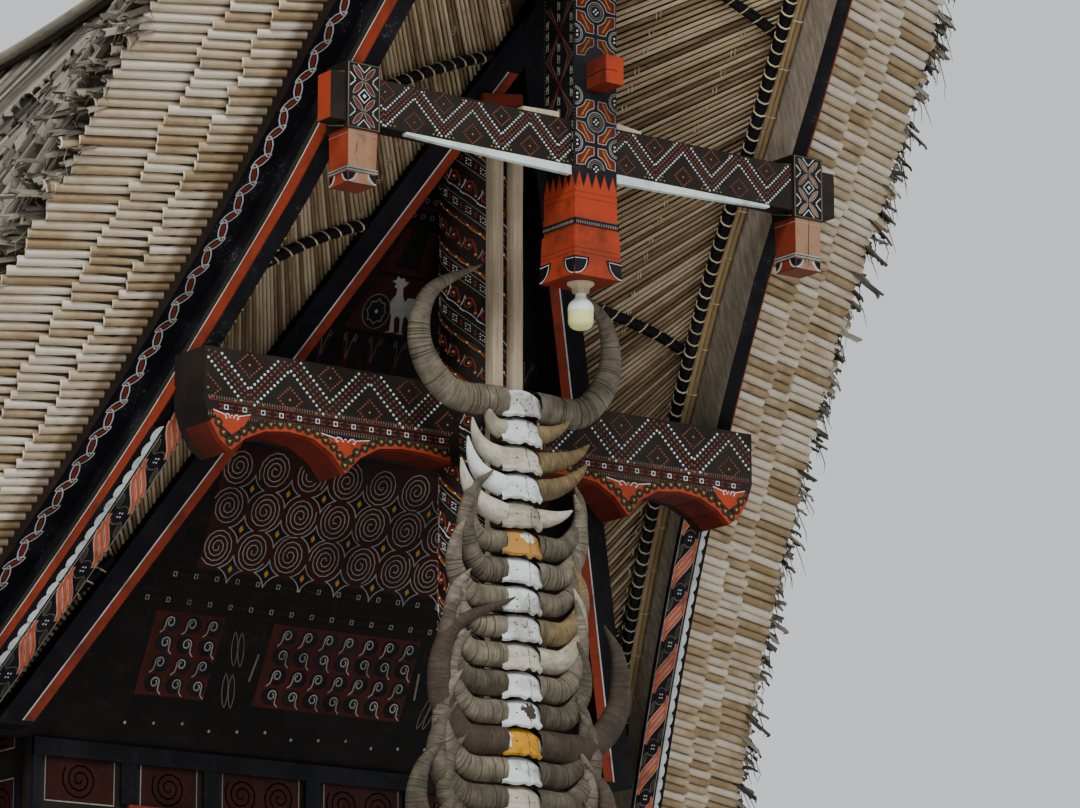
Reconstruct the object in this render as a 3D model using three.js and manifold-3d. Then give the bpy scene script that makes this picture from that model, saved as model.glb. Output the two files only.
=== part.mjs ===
// A carved wooden house on piles with a saddle roof of layered bamboo.
// Millimetres, +Z up. The front faces -Y, the ridge runs along Y, the ground is Z = 0.
// The two ends are alike, so a place is given as (w, u, z): w out from the middle plane,
// u out from the middle of the length, z up.

import * as THREE from 'three';
import { mergeVertices } from 'three/addons/utils/BufferGeometryUtils.js';
import Module from 'manifold-3d';

const wasm = await Module();
wasm.setup();

// Corners of a square, in order round it
const SQUARE = [[-1, -1], [1, -1], [1, 1], [-1, 1]];

// Clearances, and how far a cutting tool runs past the solid
const GAP = 0.3;
const SLOPE_GAP = 3;
const CUT = 200;

// Piles and floor
const PILE_RADIUS = 140;
const PILE_SIDES = 10;
const PILE_X = [-1250, 0, 1250];
const PILE_Y = [-2900, -1450, 0, 1450, 2900];
const PILE_TOP = 1750;
const LONG_TIE = { half: 45, bottom: 1250, top: 1400, reach: 3200 };
const CROSS_TIE = { half: 45, bottom: 1000, top: 1150, reach: 1550 };
const BEARER = { half: 80, top: 1950, reach: 1580 };
const JOIST = { half: 50, top: 2100, reach: 3260, notch: 40 };
const FLOOR_TOP = 2150;
const FLOOR_HALF_WIDTH = 1600;
const FLOOR_HALF_LENGTH = 3300;

// Walls
const WALL = 80;
const SIDE_WALL_W = 1500;
const SIDE_WALL_TOP = 4300;
const END_WALL_TOP = 3600;
const PLATE = { inner: 1380, outer: 1540, top: 4450 };
const WINDOW = { half: 250, bottom: 2900, top: 3500 };
const WINDOW_Y = 1650;
const DOOR = { half: 350, top: 3500 };
const END_WINDOW = { half: 220, bottom: 2750, top: 3250, x: 780 };

// Leaning gable: its rafters and the wall behind them
const APEX_Z = 6595;
const APEX_U = 4946;
const GABLE_LEAN = 0.52;
const RAFTER_SPREAD = 0.537;
const RAFTER_FACE = 173;
const RAFTER_DEPTH = 150;
const RAFTER_FOOT_Z = 3620;
const GABLE_WALL = 60;
const GABLE_WALL_LAP = 100;
const GABLE_WALL_TOP = 6750;
const GABLE_WALL_TIP = 20;

// The end post that carries the ridge, its lower beam and the battens on its front
const POST_U = 4600;
const POST_RADIUS = 184;
const POST_SIDES = 32;
const LOWER_BEAM = { front: 4680, back: 4430, outer: 1510, top: 5130, lap: 4900 };
const LOWER_BEAM_OUTLINE = [
  [76, 5130], [1510, 5130], [1510, 4885], [1480, 4800], [1430, 4720], [1370, 4680],
  [1300, 4740], [1200, 4785], [1080, 4800], [950, 4785], [850, 4730], [780, 4650],
  [700, 4730], [600, 4785], [480, 4800], [350, 4795], [220, 4775], [76, 4750],
];
const BATTEN = { x: 50, width: 60, back: 4700, front: 4850, bottom: 2500, top: 6230 };

// The hanging post with its upper beam, end caps and lamp
const HANG_POST = { half: 115, back: 5255, front: 5485, bottom: 5490 };
const HANG_FOOT = { half: 128, top_half: 122, top: 5700, lap: 20 };
const HANG_PEG = { half: 48, bottom: 6345, top: 6475, back: 5435, front: 5625 };
const UPPER_BEAM = { reach: 1387, back: 5360, front: 5460, bottom: 5990, top: 6200 };
const CAP = { inner: 1140, outer: 1310, back: 5310, front: 5470, bottom: 5958, top: 6255 };
const PENDANT = { bottom: 5720, top: 5988, top_half: 74, bottom_half: 70 };
const SOCKET = { top_radius: 52, foot_radius: 30, height: 48, sides: 16 };
const BULB_SIDES = 20;
const BULB_PROFILE = [
  [0, -214], [30, -210], [50, -196], [57, -176], [57, -118], [50, -92], [26, -70], [22, -49],
];

// Verge of the roof: half-width of the verge's front corner, and height, from tip to eave
const VERGE_POINTS = [
  [170, 10400], [410, 9900], [640, 9000], [870, 8000], [1103, 6861], [1217, 6294],
  [1306, 5768], [1465, 5131], [1554, 4804], [1684, 4403], [1852, 3936], [2100, 3300],
];
const VERGE_LEAN = 0.8;
const VERGE_U0 = 4849;
const VERGE_Z0 = 5492;
const BARGE_FACE = 80;
const BARGE_DEPTH = 400;
const BARGE_TIP_DEPTH = 220;
const BARGE_TIP = { from: 8500, over: 1500 };
const BARGE_LIP = 5;
const CARVED_BOARD = { width: 150, front: 300, back: 350, taper: 25, tip_taper: 95, taper_from: 8000 };

// Roof: a saddle between the middle section and the two leaning verges
const RIDGE_MID_Z = 7200;
const EAVE_MID_Z = 3100;
const EAVE_MID_W = 2300;
const EAVE_END_W = 2250;
const RIDGE_END_Z = 10750;
const EAVE_END_Z = 3300;
const ROOF_OUT = 780;
const ROOF_BACK = 320;
const ROOF_MID_OUT = 500;
const ROOF_MID_UP = 350;
const RIDGE_THICK = 600;
const ROUNDING = 0.07;
const ROOF_ROWS = [
  0, 0.02, 0.047, 0.08, 0.12, 0.17, 0.22, 0.27, 0.32, 0.37, 0.42, 0.47,
  0.52, 0.57, 0.62, 0.67, 0.72, 0.77, 0.82, 0.87, 0.92, 0.96, 1,
];
const BARGE_FIRST_ROW = 3;
const ROOF_COLUMNS = 28;

// Courses of bamboo down the slope: each one's foot stands out over the course below it
const COURSES = 15;
const COURSE_STEP = 45;
const COURSE_EDGE = 0.002;
const COURSE_LEAN = { w: 0.9, z: 0.4 };
const COURSE_FADE = 0.07;
const COURSE_CROWN = [0, 0.02, 0.047];
const RIDGE_BEAM = { half: 70, top: 140.6, bottom: 360, reach: 4850, steps: 12 };

// Soffit between the inner rafters and the barge boards, and the beam along its middle
const SOFFIT_THICK = 35;
const SOFFIT_DEPTH = 330;
const SOFFIT_SIDE_GAP = 8;
const SOFFIT_RISE = 400;
const SOFFIT_FOOT_Z = 3760;
const SOFFIT_BEND_Z = 6790;
const SOFFIT_INSET = 100;
const SOFFIT_DROP = 90;
const SOFFIT_LIFT = 20;
const SOFFIT_SLANT = 5;
const SOFFIT_RAFTER_STEPS = 9;
const SOFFIT_BEAM = { steps: 7, from: 5180, to: 8200 };
const SOFFIT_GROW = 1200;
const SOFFIT_SHRINK = { top: 10130, over: 3100 };
const MIDDLE_BEAM = {
  half: 60, foot_bottom: 6740, foot_top: 6880, tip_u: 8560, tip_bottom: 10330, height: 140,
};

// Buffalo horns nailed one above another on the battens. For each pair, the left horn and then the
// right one: how far out it reaches, how far its tip rises, and how far out the tip is.
const HORN_TOP_Z = 5085;
const HORN_PITCH = 124;
const HORN_FOOT = 86;
const HORN_SIDES = 6;
const HORN_STEPS = 8;
const HORN_THICK = { base: 34, growth: 0.038, tip: 6, flat: 0.8, power: 1.5 };
const HORN_DIP = { along: 0.55, drop: 0.11 };
const HORN_SIDE = 0.36;
const HORN_TURN = { along: 0.62, rise: 0.74 };
const HORN_FORWARD = [0, 4, -4, -24, -44];
const SKULL = { half: 112, height: 134, back: 4850.3, front: 4960 };
const HORNS = [
  [555, 600, 240, 510, 590, 250],
  [200, 127, 200, 250, 80, 250],
  [285, 150, 285, 360, 110, 360],
  [310, 190, 310, 350, 150, 350],
  [346, 216, 346, 264, 50, 264],
  [270, 220, 240, 330, 290, 280],
  [300, 437, 170, 330, 380, 275],
  [360, 328, 320, 300, 250, 270],
  [330, 210, 300, 340, 300, 270],
  [370, 360, 290, 330, 330, 270],
  [400, 380, 330, 330, 410, 285],
  [370, 340, 290, 350, 350, 290],
  [440, 640, 50, 555, 565, 440],
  [420, 420, 330, 360, 360, 280],
  [450, 400, 360, 400, 420, 300],
  [400, 390, 310, 380, 370, 300],
  [550, 480, 430, 480, 440, 330],
  [430, 400, 320, 420, 410, 320],
  [450, 420, 340, 430, 400, 340],
  [440, 430, 330, 450, 420, 350],
];

const COLOURS = {
  timber: 0x6b5a48,
  weathered: 0x4a3c2f,
  bamboo: 0xa08864,
  soffit: 0x8b7350,
  black: 0x1b1816,
  carved: 0x33231d,
  orange: 0xb5401f,
  bare: 0x9c8266,
  horn: 0x6f675a,
  glass: 0xe6ead2,
  cream: 0xcabfa4,
};

const group = new THREE.Group();

function addNode(name, geometry, colour, roughness = 0.85) {
  const material = new THREE.MeshStandardMaterial({ color: COLOURS[colour], roughness, metalness: 0 });
  const mesh = new THREE.Mesh(geometry, material);
  mesh.name = name;
  group.add(mesh);
}

// Geometry helpers

function signedVolume(positions, index) {
  let volume = 0;
  const a = new THREE.Vector3();
  const b = new THREE.Vector3();
  const c = new THREE.Vector3();
  for (let i = 0; i < index.length; i += 3) {
    a.fromArray(positions, index[i] * 3);
    b.fromArray(positions, index[i + 1] * 3);
    c.fromArray(positions, index[i + 2] * 3);
    volume += a.dot(b.cross(c));
  }
  return volume;
}

function closedBody(points, index) {
  const positions = points.flat();
  const faces = index.slice();
  if (signedVolume(positions, faces) < 0) {
    for (let i = 0; i < faces.length; i += 3) {
      [faces[i + 1], faces[i + 2]] = [faces[i + 2], faces[i + 1]];
    }
  }
  const geometry = new THREE.BufferGeometry();
  geometry.setAttribute('position', new THREE.Float32BufferAttribute(positions, 3));
  geometry.setIndex(faces);
  geometry.computeVertexNormals();
  return geometry;
}

// The end face of a ring that lies flat, from its outline.
function outlineFaces(flat) {
  const outline = flat.map(([x, y]) => new THREE.Vector2(x, y));
  return THREE.ShapeUtils.triangulateShape(outline, []);
}

// Joins rings of equal length into one closed body with the same end face on both ends.
function loft(rings, endFaces) {
  const count = rings[0].length;
  const sides = [];
  for (let i = 0; i + 1 < rings.length; i += 1) {
    for (let j = 0; j < count; j += 1) {
      const k = (j + 1) % count;
      const a = i * count + j;
      const b = i * count + k;
      sides.push([a, b, b + count], [a, b + count, a + count]);
    }
  }
  const last = (rings.length - 1) * count;
  const far = endFaces.map((face) => face.map((v) => v + last));
  const edges = new Set(sides.flatMap(([a, b, c]) => [`${a}_${b}`, `${b}_${c}`, `${c}_${a}`]));
  const faces = [...sides, ...facing(endFaces, edges), ...facing(far, edges)];
  return closedBody(rings.flat(), faces.flat());
}

// Turns faces round where they run the same way along an edge as their neighbours.
function facing(faces, edges) {
  const clash = faces.some(([a, b, c]) => (
    [`${a}_${b}`, `${b}_${c}`, `${c}_${a}`].some((edge) => edges.has(edge))
  ));
  return faces.map(([a, b, c]) => (clash ? [a, c, b] : [a, b, c]));
}

function boxBetween(x0, x1, y0, y1, z0, z1) {
  const geometry = new THREE.BoxGeometry(Math.abs(x1 - x0), Math.abs(y1 - y0), Math.abs(z1 - z0));
  geometry.translate((x0 + x1) / 2, (y0 + y1) / 2, (z0 + z1) / 2);
  return geometry;
}

function post(x, y, z0, z1, radius, sides) {
  const geometry = new THREE.CylinderGeometry(radius, radius, z1 - z0, sides);
  geometry.rotateX(Math.PI / 2);
  geometry.translate(x, y, (z0 + z1) / 2);
  return geometry;
}

// The space that the end post takes up between two heights.
function postSpace(end, z0, z1) {
  return post(0, -end * POST_U, z0, z1, POST_RADIUS + GAP, POST_SIDES);
}

function solid(geometry) {
  const bare = geometry.clone();
  bare.deleteAttribute('normal');
  bare.deleteAttribute('uv');
  const merged = mergeVertices(bare, 0.001);
  return new wasm.Manifold(new wasm.Mesh({
    numProp: 3,
    vertProperties: merged.attributes.position.array,
    triVerts: new Uint32Array(merged.index.array),
  }));
}

function geometryOf(manifold) {
  const mesh = manifold.getMesh();
  const geometry = new THREE.BufferGeometry();
  geometry.setAttribute('position', new THREE.BufferAttribute(new Float32Array(mesh.vertProperties), 3));
  geometry.setIndex(Array.from(mesh.triVerts));
  geometry.computeVertexNormals();
  return geometry;
}

function join(...geometries) {
  return geometryOf(geometries.map(solid).reduce((all, next) => all.add(next)));
}

function cut(geometry, ...tools) {
  return geometryOf(tools.map(solid).reduce((left, tool) => left.subtract(tool), solid(geometry)));
}

// A place on one quarter of the house: side is -1 or 1 across, end is 1 at the front.
function place(w, u, z, side, end) {
  return [side * w, -end * u, z];
}

// A box given by its w, u and z ranges on one quarter.
function quarterBox(w0, w1, u0, u1, z0, z1, side, end) {
  return boxBetween(side * w0, side * w1, -end * u0, -end * u1, z0, z1);
}

// Curves of the verge and the roof

const vergeCurve = new THREE.CatmullRomCurve3(
  VERGE_POINTS.map(([w, z]) => new THREE.Vector3(w, z, 0)),
  false,
  'catmullrom',
  0.5,
);

function vergeU(z) {
  return VERGE_U0 + VERGE_LEAN * (z - VERGE_Z0);
}

// Half-width of the verge's front corner at a height.
function vergeW(z) {
  let low = 0;
  let high = 1;
  for (let i = 0; i < 30; i += 1) {
    const middle = (low + high) / 2;
    if (vergeCurve.getPoint(middle).y > z) {
      low = middle;
    } else {
      high = middle;
    }
  }
  return vergeCurve.getPoint((low + high) / 2).x;
}

// Where the roof's underside meets the carved board, from the ridge (0) to the eave (1).
function roofEdge(t) {
  const z = THREE.MathUtils.lerp(RIDGE_END_Z, EAVE_END_Z, t);
  const top = VERGE_POINTS[0][1];
  const w = z > top
    ? (vergeW(top) + CARVED_BOARD.width) * Math.sqrt((RIDGE_END_Z - z) / (RIDGE_END_Z - top))
    : vergeW(z) + CARVED_BOARD.width;
  return { w, u: vergeU(z) - CARVED_BOARD.front, z };
}

function roofPoint(s, t, outer) {
  const edge = roofEdge(t);
  const bulge = outer ? 1 - Math.exp(-t / ROUNDING) : 0;
  const lift = outer ? RIDGE_THICK * (1 - bulge) : 0;
  const midW = edge.w * (EAVE_MID_W / EAVE_END_W);
  const midZ = RIDGE_MID_Z - (RIDGE_MID_Z - EAVE_MID_Z) * (midW / EAVE_MID_W);
  const a = Math.abs(s);
  const w0 = midW + ROOF_MID_OUT * bulge;
  const z0 = midZ + ROOF_MID_UP * bulge * (1 - t) + lift;
  const w1 = edge.w + ROOF_OUT * bulge;
  const z1 = edge.z + lift;
  const u1 = edge.u - ROOF_BACK * bulge;
  return {
    w: w0 + (w1 - w0) * a,
    u: s * u1,
    z: z0 + (z1 - z0) * a * a,
  };
}

// Rows of the roof's top side, as the place from ridge to eave and how far up its course's step.
function courseRows() {
  const rows = COURSE_CROWN.map((t) => [t, t * COURSES]);
  for (let i = 1; i < COURSES; i += 1) {
    rows.push([i / COURSES - COURSE_EDGE, 1], [i / COURSES + COURSE_EDGE, 0]);
  }
  rows.push([1, 1]);
  return rows;
}

function coursePoint(s, t, rise) {
  const { w, u, z } = roofPoint(s, t, true);
  const step = COURSE_STEP * rise * Math.min((1 - Math.abs(s)) / COURSE_FADE, 1);
  return { w: w + COURSE_LEAN.w * step, u, z: z + COURSE_LEAN.z * step };
}

// One slope of the roof, a thick closed shell from end to end.
function roofSlope(side) {
  const columns = Array.from({ length: ROOF_COLUMNS + 1 }, (_, i) => -1 + (2 * i) / ROOF_COLUMNS);
  const rows = courseRows().reverse();
  const rings = columns.map((s) => {
    const under = ROOF_ROWS.map((t) => roofPoint(s, t, false));
    const over = rows.map(([t, rise]) => coursePoint(s, t, rise));
    return [...under, ...over].map(({ w, u, z }) => place(w + GAP / 2, u, z, side, 1));
  });
  return loft(rings, outlineFaces(rings[0].map(([x, , z]) => [x, z])));
}

function ridgeZ(u) {
  const s = u / roofEdge(0).u;
  return RIDGE_MID_Z + (RIDGE_END_Z - RIDGE_MID_Z) * s * s;
}

function ridgeStation(i) {
  return -RIDGE_BEAM.reach + (2 * RIDGE_BEAM.reach * i) / RIDGE_BEAM.steps;
}

function ridgeBeam() {
  const rings = [];
  for (let i = 0; i <= RIDGE_BEAM.steps; i += 1) {
    const u = ridgeStation(i);
    const z = ridgeZ(u);
    rings.push([
      [-RIDGE_BEAM.half, -u, z - RIDGE_BEAM.bottom],
      [RIDGE_BEAM.half, -u, z - RIDGE_BEAM.bottom],
      [RIDGE_BEAM.half, -u, z - RIDGE_BEAM.top],
      [-RIDGE_BEAM.half, -u, z - RIDGE_BEAM.top],
    ]);
  }
  return loft(rings, outlineFaces(rings[0].map(([x, , z]) => [x, z])));
}

// Underside of the ridge beam over the inner edge of the end post.
function postTop() {
  const u0 = ridgeStation(RIDGE_BEAM.steps - 1);
  const u1 = ridgeStation(RIDGE_BEAM.steps);
  const t = (POST_U - POST_RADIUS - u0) / (u1 - u0);
  return THREE.MathUtils.lerp(ridgeZ(u0), ridgeZ(u1), t) - RIDGE_BEAM.bottom - GAP;
}

// Leaning gable

function gableU(z) {
  return APEX_U - GABLE_LEAN * (APEX_Z - z);
}

function rafterInner(z) {
  return RAFTER_SPREAD * (APEX_Z - z);
}

function leaningPlate(outline, front, back, end) {
  const ring = (offset) => outline.map(([w, z]) => place(w, gableU(z) + offset, z, 1, end));
  return loft([ring(front), ring(back)], outlineFaces(outline));
}

function rafter(side, end) {
  const apex = APEX_Z + RAFTER_FACE / RAFTER_SPREAD;
  const outline = [
    [GAP / 2, APEX_Z],
    [rafterInner(RAFTER_FOOT_Z), RAFTER_FOOT_Z],
    [rafterInner(RAFTER_FOOT_Z) + RAFTER_FACE, RAFTER_FOOT_Z],
    [GAP / 2, apex],
  ].map(([w, z]) => [side * w, z]);
  const plate = leaningPlate(outline, 0, -RAFTER_DEPTH, end);
  return cut(plate, postSpace(end, RAFTER_FOOT_Z, apex + CUT));
}

function gableWall(end) {
  const foot = rafterInner(END_WALL_TOP) + GABLE_WALL_LAP;
  const top = Math.max(GABLE_WALL_TIP, rafterInner(GABLE_WALL_TOP) + GABLE_WALL_LAP);
  const z0 = END_WALL_TOP + GAP;
  const outline = [[-foot, z0], [foot, z0], [top, GABLE_WALL_TOP], [-top, GABLE_WALL_TOP]];
  const front = -RAFTER_DEPTH - GAP;
  const plate = leaningPlate(outline, front, front - GABLE_WALL, end);
  return cut(plate, postSpace(end, END_WALL_TOP, GABLE_WALL_TOP + CUT));
}

// Walls with their openings

function sideWall(side, withDoor) {
  const reach = endWallBack() - GAP;
  const w0 = side * (SIDE_WALL_W - WALL);
  const w1 = side * SIDE_WALL_W;
  const wall = boxBetween(w0, w1, -reach, reach, FLOOR_TOP + GAP, SIDE_WALL_TOP);
  const outer = w1 + side * CUT;
  const inner = w0 - side * CUT;
  const middle = withDoor ? { half: DOOR.half, bottom: FLOOR_TOP - CUT, top: DOOR.top } : WINDOW;
  const openings = [[-WINDOW_Y, WINDOW], [WINDOW_Y, WINDOW], [0, middle]];
  const tools = openings.map(([y, { half, bottom, top }]) => (
    boxBetween(inner, outer, y - half, y + half, bottom, top)
  ));
  return cut(wall, ...tools);
}

function endWallFront() {
  return gableU(END_WALL_TOP) - RAFTER_DEPTH - GAP;
}

function endWallBack() {
  return endWallFront() - WALL;
}

function endWall(end) {
  const y0 = -end * endWallBack();
  const y1 = -end * endWallFront();
  const wall = boxBetween(-SIDE_WALL_W, SIDE_WALL_W, y0, y1, FLOOR_TOP + GAP, END_WALL_TOP);
  const past = end * CUT;
  const tools = [-END_WINDOW.x, END_WINDOW.x].map((x) => boxBetween(
    x - END_WINDOW.half,
    x + END_WINDOW.half,
    y0 + past,
    y1 - past,
    END_WINDOW.bottom,
    END_WINDOW.top,
  ));
  return cut(wall, ...tools);
}

function wallPlate(side) {
  const reach = endWallBack() - GAP;
  return boxBetween(side * PLATE.inner, side * PLATE.outer, -reach, reach, SIDE_WALL_TOP + GAP, PLATE.top);
}

// Substructure

function pileRow(x) {
  const posts = PILE_Y.map((y) => post(x, y, 0, PILE_TOP, PILE_RADIUS, PILE_SIDES));
  const tie = boxBetween(
    x - LONG_TIE.half,
    x + LONG_TIE.half,
    -LONG_TIE.reach,
    LONG_TIE.reach,
    LONG_TIE.bottom,
    LONG_TIE.top,
  );
  const slots = PILE_Y.map((y) => boxBetween(
    x - PILE_RADIUS - CUT,
    x + PILE_RADIUS + CUT,
    y - CROSS_TIE.half - GAP,
    y + CROSS_TIE.half + GAP,
    CROSS_TIE.bottom - GAP,
    CROSS_TIE.top + GAP,
  ));
  return cut(join(...posts, tie), ...slots);
}

function crossTie(y) {
  return boxBetween(
    -CROSS_TIE.reach,
    CROSS_TIE.reach,
    y - CROSS_TIE.half,
    y + CROSS_TIE.half,
    CROSS_TIE.bottom,
    CROSS_TIE.top,
  );
}

function floorFrame() {
  const bearers = PILE_Y.map((y) => boxBetween(
    -BEARER.reach,
    BEARER.reach,
    y - BEARER.half,
    y + BEARER.half,
    PILE_TOP + GAP,
    BEARER.top,
  ));
  const joists = PILE_X.map((x) => boxBetween(
    x - JOIST.half,
    x + JOIST.half,
    -JOIST.reach,
    JOIST.reach,
    BEARER.top - JOIST.notch,
    JOIST.top,
  ));
  return join(...bearers, ...joists);
}

// End post and its beams

function endPost(end) {
  return post(0, -end * POST_U, 0, postTop(), POST_RADIUS, POST_SIDES);
}

function lowerBeam(side, end) {
  const ring = (u) => LOWER_BEAM_OUTLINE.map(([w, z]) => place(w, u, z, side, end));
  const beam = loft([ring(LOWER_BEAM.back), ring(LOWER_BEAM.front)], outlineFaces(LOWER_BEAM_OUTLINE));
  return cut(beam, postSpace(end, LOWER_BEAM.lap - 2 * CUT, LOWER_BEAM.top + CUT));
}

function batten(side) {
  const x = side * BATTEN.x;
  const half = BATTEN.width / 2;
  const body = boxBetween(x - half, x + half, -BATTEN.front, -BATTEN.back, BATTEN.bottom, BATTEN.top);
  return cut(body, postSpace(1, BATTEN.bottom - CUT, BATTEN.top + CUT));
}

function middleBeamBottom(u) {
  const foot = gableU(MIDDLE_BEAM.foot_bottom);
  const slope = (MIDDLE_BEAM.tip_bottom - MIDDLE_BEAM.foot_bottom) / (MIDDLE_BEAM.tip_u - foot);
  return MIDDLE_BEAM.foot_bottom + (u - foot) * slope;
}

function middleBeam(end) {
  const { half, foot_bottom: z0, foot_top: z1, tip_u: tip, tip_bottom: z2, height } = MIDDLE_BEAM;
  const ring = (w) => [
    place(w, gableU(z0) + GAP, z0, 1, end),
    place(w, tip, z2, 1, end),
    place(w, tip, z2 + height, 1, end),
    place(w, gableU(z1) + GAP, z1, 1, end),
  ];
  const rings = [ring(-half), ring(half)];
  return loft(rings, outlineFaces(rings[0].map(([, y, z]) => [y, z])));
}

// The four corners of a square at (w, u), in order round it.
function squareAt(w, u, half, z, side, end) {
  return SQUARE.map(([i, j]) => place(w + i * half, u + j * half, z, side, end));
}

// The space that the upper beam takes up between two places across the house.
function upperBeamSpace(w0, w1, front, side, end) {
  const { back, bottom, top } = UPPER_BEAM;
  return quarterBox(w0, w1, back - GAP, front, bottom - GAP, top + GAP, side, end);
}

function hangingPost(end) {
  const { half, back, front, bottom } = HANG_POST;
  const foot_z = bottom + HANG_FOOT.lap;
  const shaft = [-half, half].map((w) => [
    place(w, back, foot_z, 1, end),
    place(w, front, foot_z, 1, end),
    place(w, front, middleBeamBottom(front) - SLOPE_GAP, 1, end),
    place(w, back, middleBeamBottom(back) - SLOPE_GAP, 1, end),
  ]);
  const shaftBody = loft(shaft, outlineFaces(shaft[0].map(([, y, z]) => [y, z])));
  const centre = (back + front) / 2;
  const footRings = [
    squareAt(0, centre, HANG_FOOT.half, bottom, 1, end),
    squareAt(0, centre, HANG_FOOT.top_half, HANG_FOOT.top, 1, end),
  ];
  const foot = loft(footRings, outlineFaces(SQUARE));
  const { half: pegHalf, back: pegBack, front: pegFront, bottom: pegBottom, top: pegTop } = HANG_PEG;
  const peg = quarterBox(-pegHalf, pegHalf, pegBack, pegFront, pegBottom, pegTop, 1, end);
  const mortise = upperBeamSpace(-half - CUT, half + CUT, UPPER_BEAM.front + GAP, 1, end);
  return cut(join(shaftBody, foot, peg), mortise);
}

function upperBeam(end) {
  const { reach, back, front, bottom, top } = UPPER_BEAM;
  return quarterBox(-reach, reach, back, front, bottom, top, 1, end);
}

function cap(side, end) {
  const block = quarterBox(CAP.inner, CAP.outer, CAP.back, CAP.front, CAP.bottom, CAP.top, side, end);
  const w = (CAP.inner + CAP.outer) / 2;
  const u = (CAP.back + CAP.front) / 2;
  const rings = [
    squareAt(w, u, PENDANT.bottom_half, PENDANT.bottom, side, end),
    squareAt(w, u, PENDANT.top_half, PENDANT.top, side, end),
  ];
  const pendant = loft(rings, outlineFaces(SQUARE));
  const mortise = upperBeamSpace(CAP.inner - CUT, CAP.outer + CUT, UPPER_BEAM.front + GAP, side, end);
  return cut(join(block, pendant), mortise);
}

// Lamp under the hanging post

function lampAt(geometry) {
  geometry.rotateX(Math.PI / 2);
  geometry.translate(0, -(HANG_POST.back + HANG_POST.front) / 2, HANG_POST.bottom);
  return geometry;
}

function lampSocket() {
  const { top_radius: top, foot_radius: foot, height } = SOCKET;
  const profile = [[0, -height], [foot, -height], [foot, -height / 2], [top, -GAP], [0, -GAP]];
  return lampAt(new THREE.LatheGeometry(profile.map(([r, z]) => new THREE.Vector2(r, z)), SOCKET.sides));
}

function lampBulb() {
  const profile = [...BULB_PROFILE, [0, -SOCKET.height - GAP]];
  return lampAt(new THREE.LatheGeometry(profile.map(([r, z]) => new THREE.Vector2(r, z)), BULB_SIDES));
}

// Verge boards and soffit

function bargeDepth(z) {
  const near = THREE.MathUtils.clamp((z - BARGE_TIP.from) / BARGE_TIP.over, 0, 1);
  return THREE.MathUtils.lerp(BARGE_DEPTH, BARGE_TIP_DEPTH, near);
}

// The deep plank and the carved board beside it, as one outline at a height.
function bargeSection(z) {
  const { width, front, back, taper, tip_taper: tipTaper, taper_from: from } = CARVED_BOARD;
  const deep = Math.max(bargeDepth(z), back + BARGE_LIP);
  const near = THREE.MathUtils.clamp((z - from) / (VERGE_POINTS[0][1] - from), 0, 1);
  const slant = THREE.MathUtils.lerp(taper, tipTaper, near);
  return [
    [-BARGE_FACE, 0], [0, 0], [0, -front], [width - GAP, -front],
    [width - slant, -back], [0, -back], [0, -deep], [-BARGE_FACE, -deep],
  ];
}

function bargeBoard(side, end) {
  const rings = ROOF_ROWS.slice(BARGE_FIRST_ROW).map((t) => {
    const { w, z } = roofEdge(t);
    const corner = w - CARVED_BOARD.width;
    return bargeSection(z).map(([dw, du]) => place(corner + dw, vergeU(z) + du, z, side, end));
  });
  const board = loft(rings, outlineFaces(bargeSection(EAVE_END_Z)));
  const capSpace = quarterBox(
    CAP.inner - GAP,
    CAP.outer + GAP,
    CAP.back - GAP,
    CAP.front + CUT,
    CAP.bottom - GAP,
    CAP.top + GAP,
    side,
    end,
  );
  const beamSpace = upperBeamSpace(CAP.inner - CUT, CAP.outer + CUT, UPPER_BEAM.front + CUT, side, end);
  const lowerSpace = quarterBox(
    LOWER_BEAM.outer - 2 * CUT,
    LOWER_BEAM.outer + GAP,
    LOWER_BEAM.back - GAP,
    LOWER_BEAM.front + CUT,
    LOWER_BEAM.lap,
    LOWER_BEAM.top + GAP,
    side,
    end,
  );
  return cut(board, capSpace, beamSpace, lowerSpace);
}

// Where a ruling meets the barge plank.
function soffitOuter(innerZ, part) {
  const z = innerZ + SOFFIT_LIFT + SOFFIT_RISE * THREE.MathUtils.clamp(part, 0, 1);
  return { w: vergeW(z) - BARGE_FACE - SOFFIT_SIDE_GAP, u: vergeU(z) - SOFFIT_DEPTH, z };
}

// Straight lines from the rafters, and then from the middle beam, out to the barge plank.
function soffitRulings() {
  const rulings = [];
  for (let i = 0; i <= SOFFIT_RAFTER_STEPS; i += 1) {
    const z = THREE.MathUtils.lerp(SOFFIT_FOOT_Z, SOFFIT_BEND_Z, i / SOFFIT_RAFTER_STEPS);
    const inner = { w: rafterInner(z) + RAFTER_FACE + GAP, u: gableU(z) - SOFFIT_INSET, z };
    rulings.push([inner, soffitOuter(z, (z - SOFFIT_FOOT_Z) / SOFFIT_GROW)]);
  }
  for (let i = 0; i <= SOFFIT_BEAM.steps; i += 1) {
    const u = THREE.MathUtils.lerp(SOFFIT_BEAM.from, SOFFIT_BEAM.to, i / SOFFIT_BEAM.steps);
    const z = middleBeamBottom(u) + SOFFIT_DROP;
    const inner = { w: MIDDLE_BEAM.half + GAP, u, z };
    rulings.push([inner, soffitOuter(z, (SOFFIT_SHRINK.top - z) / SOFFIT_SHRINK.over)]);
  }
  return rulings;
}

function soffit(side, end) {
  const rings = soffitRulings().map(([a, b]) => [
    place(a.w, a.u, a.z, side, end),
    place(b.w, b.u, b.z, side, end),
    place(b.w, b.u - SOFFIT_THICK, b.z + SOFFIT_SLANT, side, end),
    place(a.w, a.u - SOFFIT_THICK, a.z + SOFFIT_SLANT, side, end),
  ]);
  return loft(rings, [[0, 1, 2], [0, 2, 3]]);
}

// Buffalo horns

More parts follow.
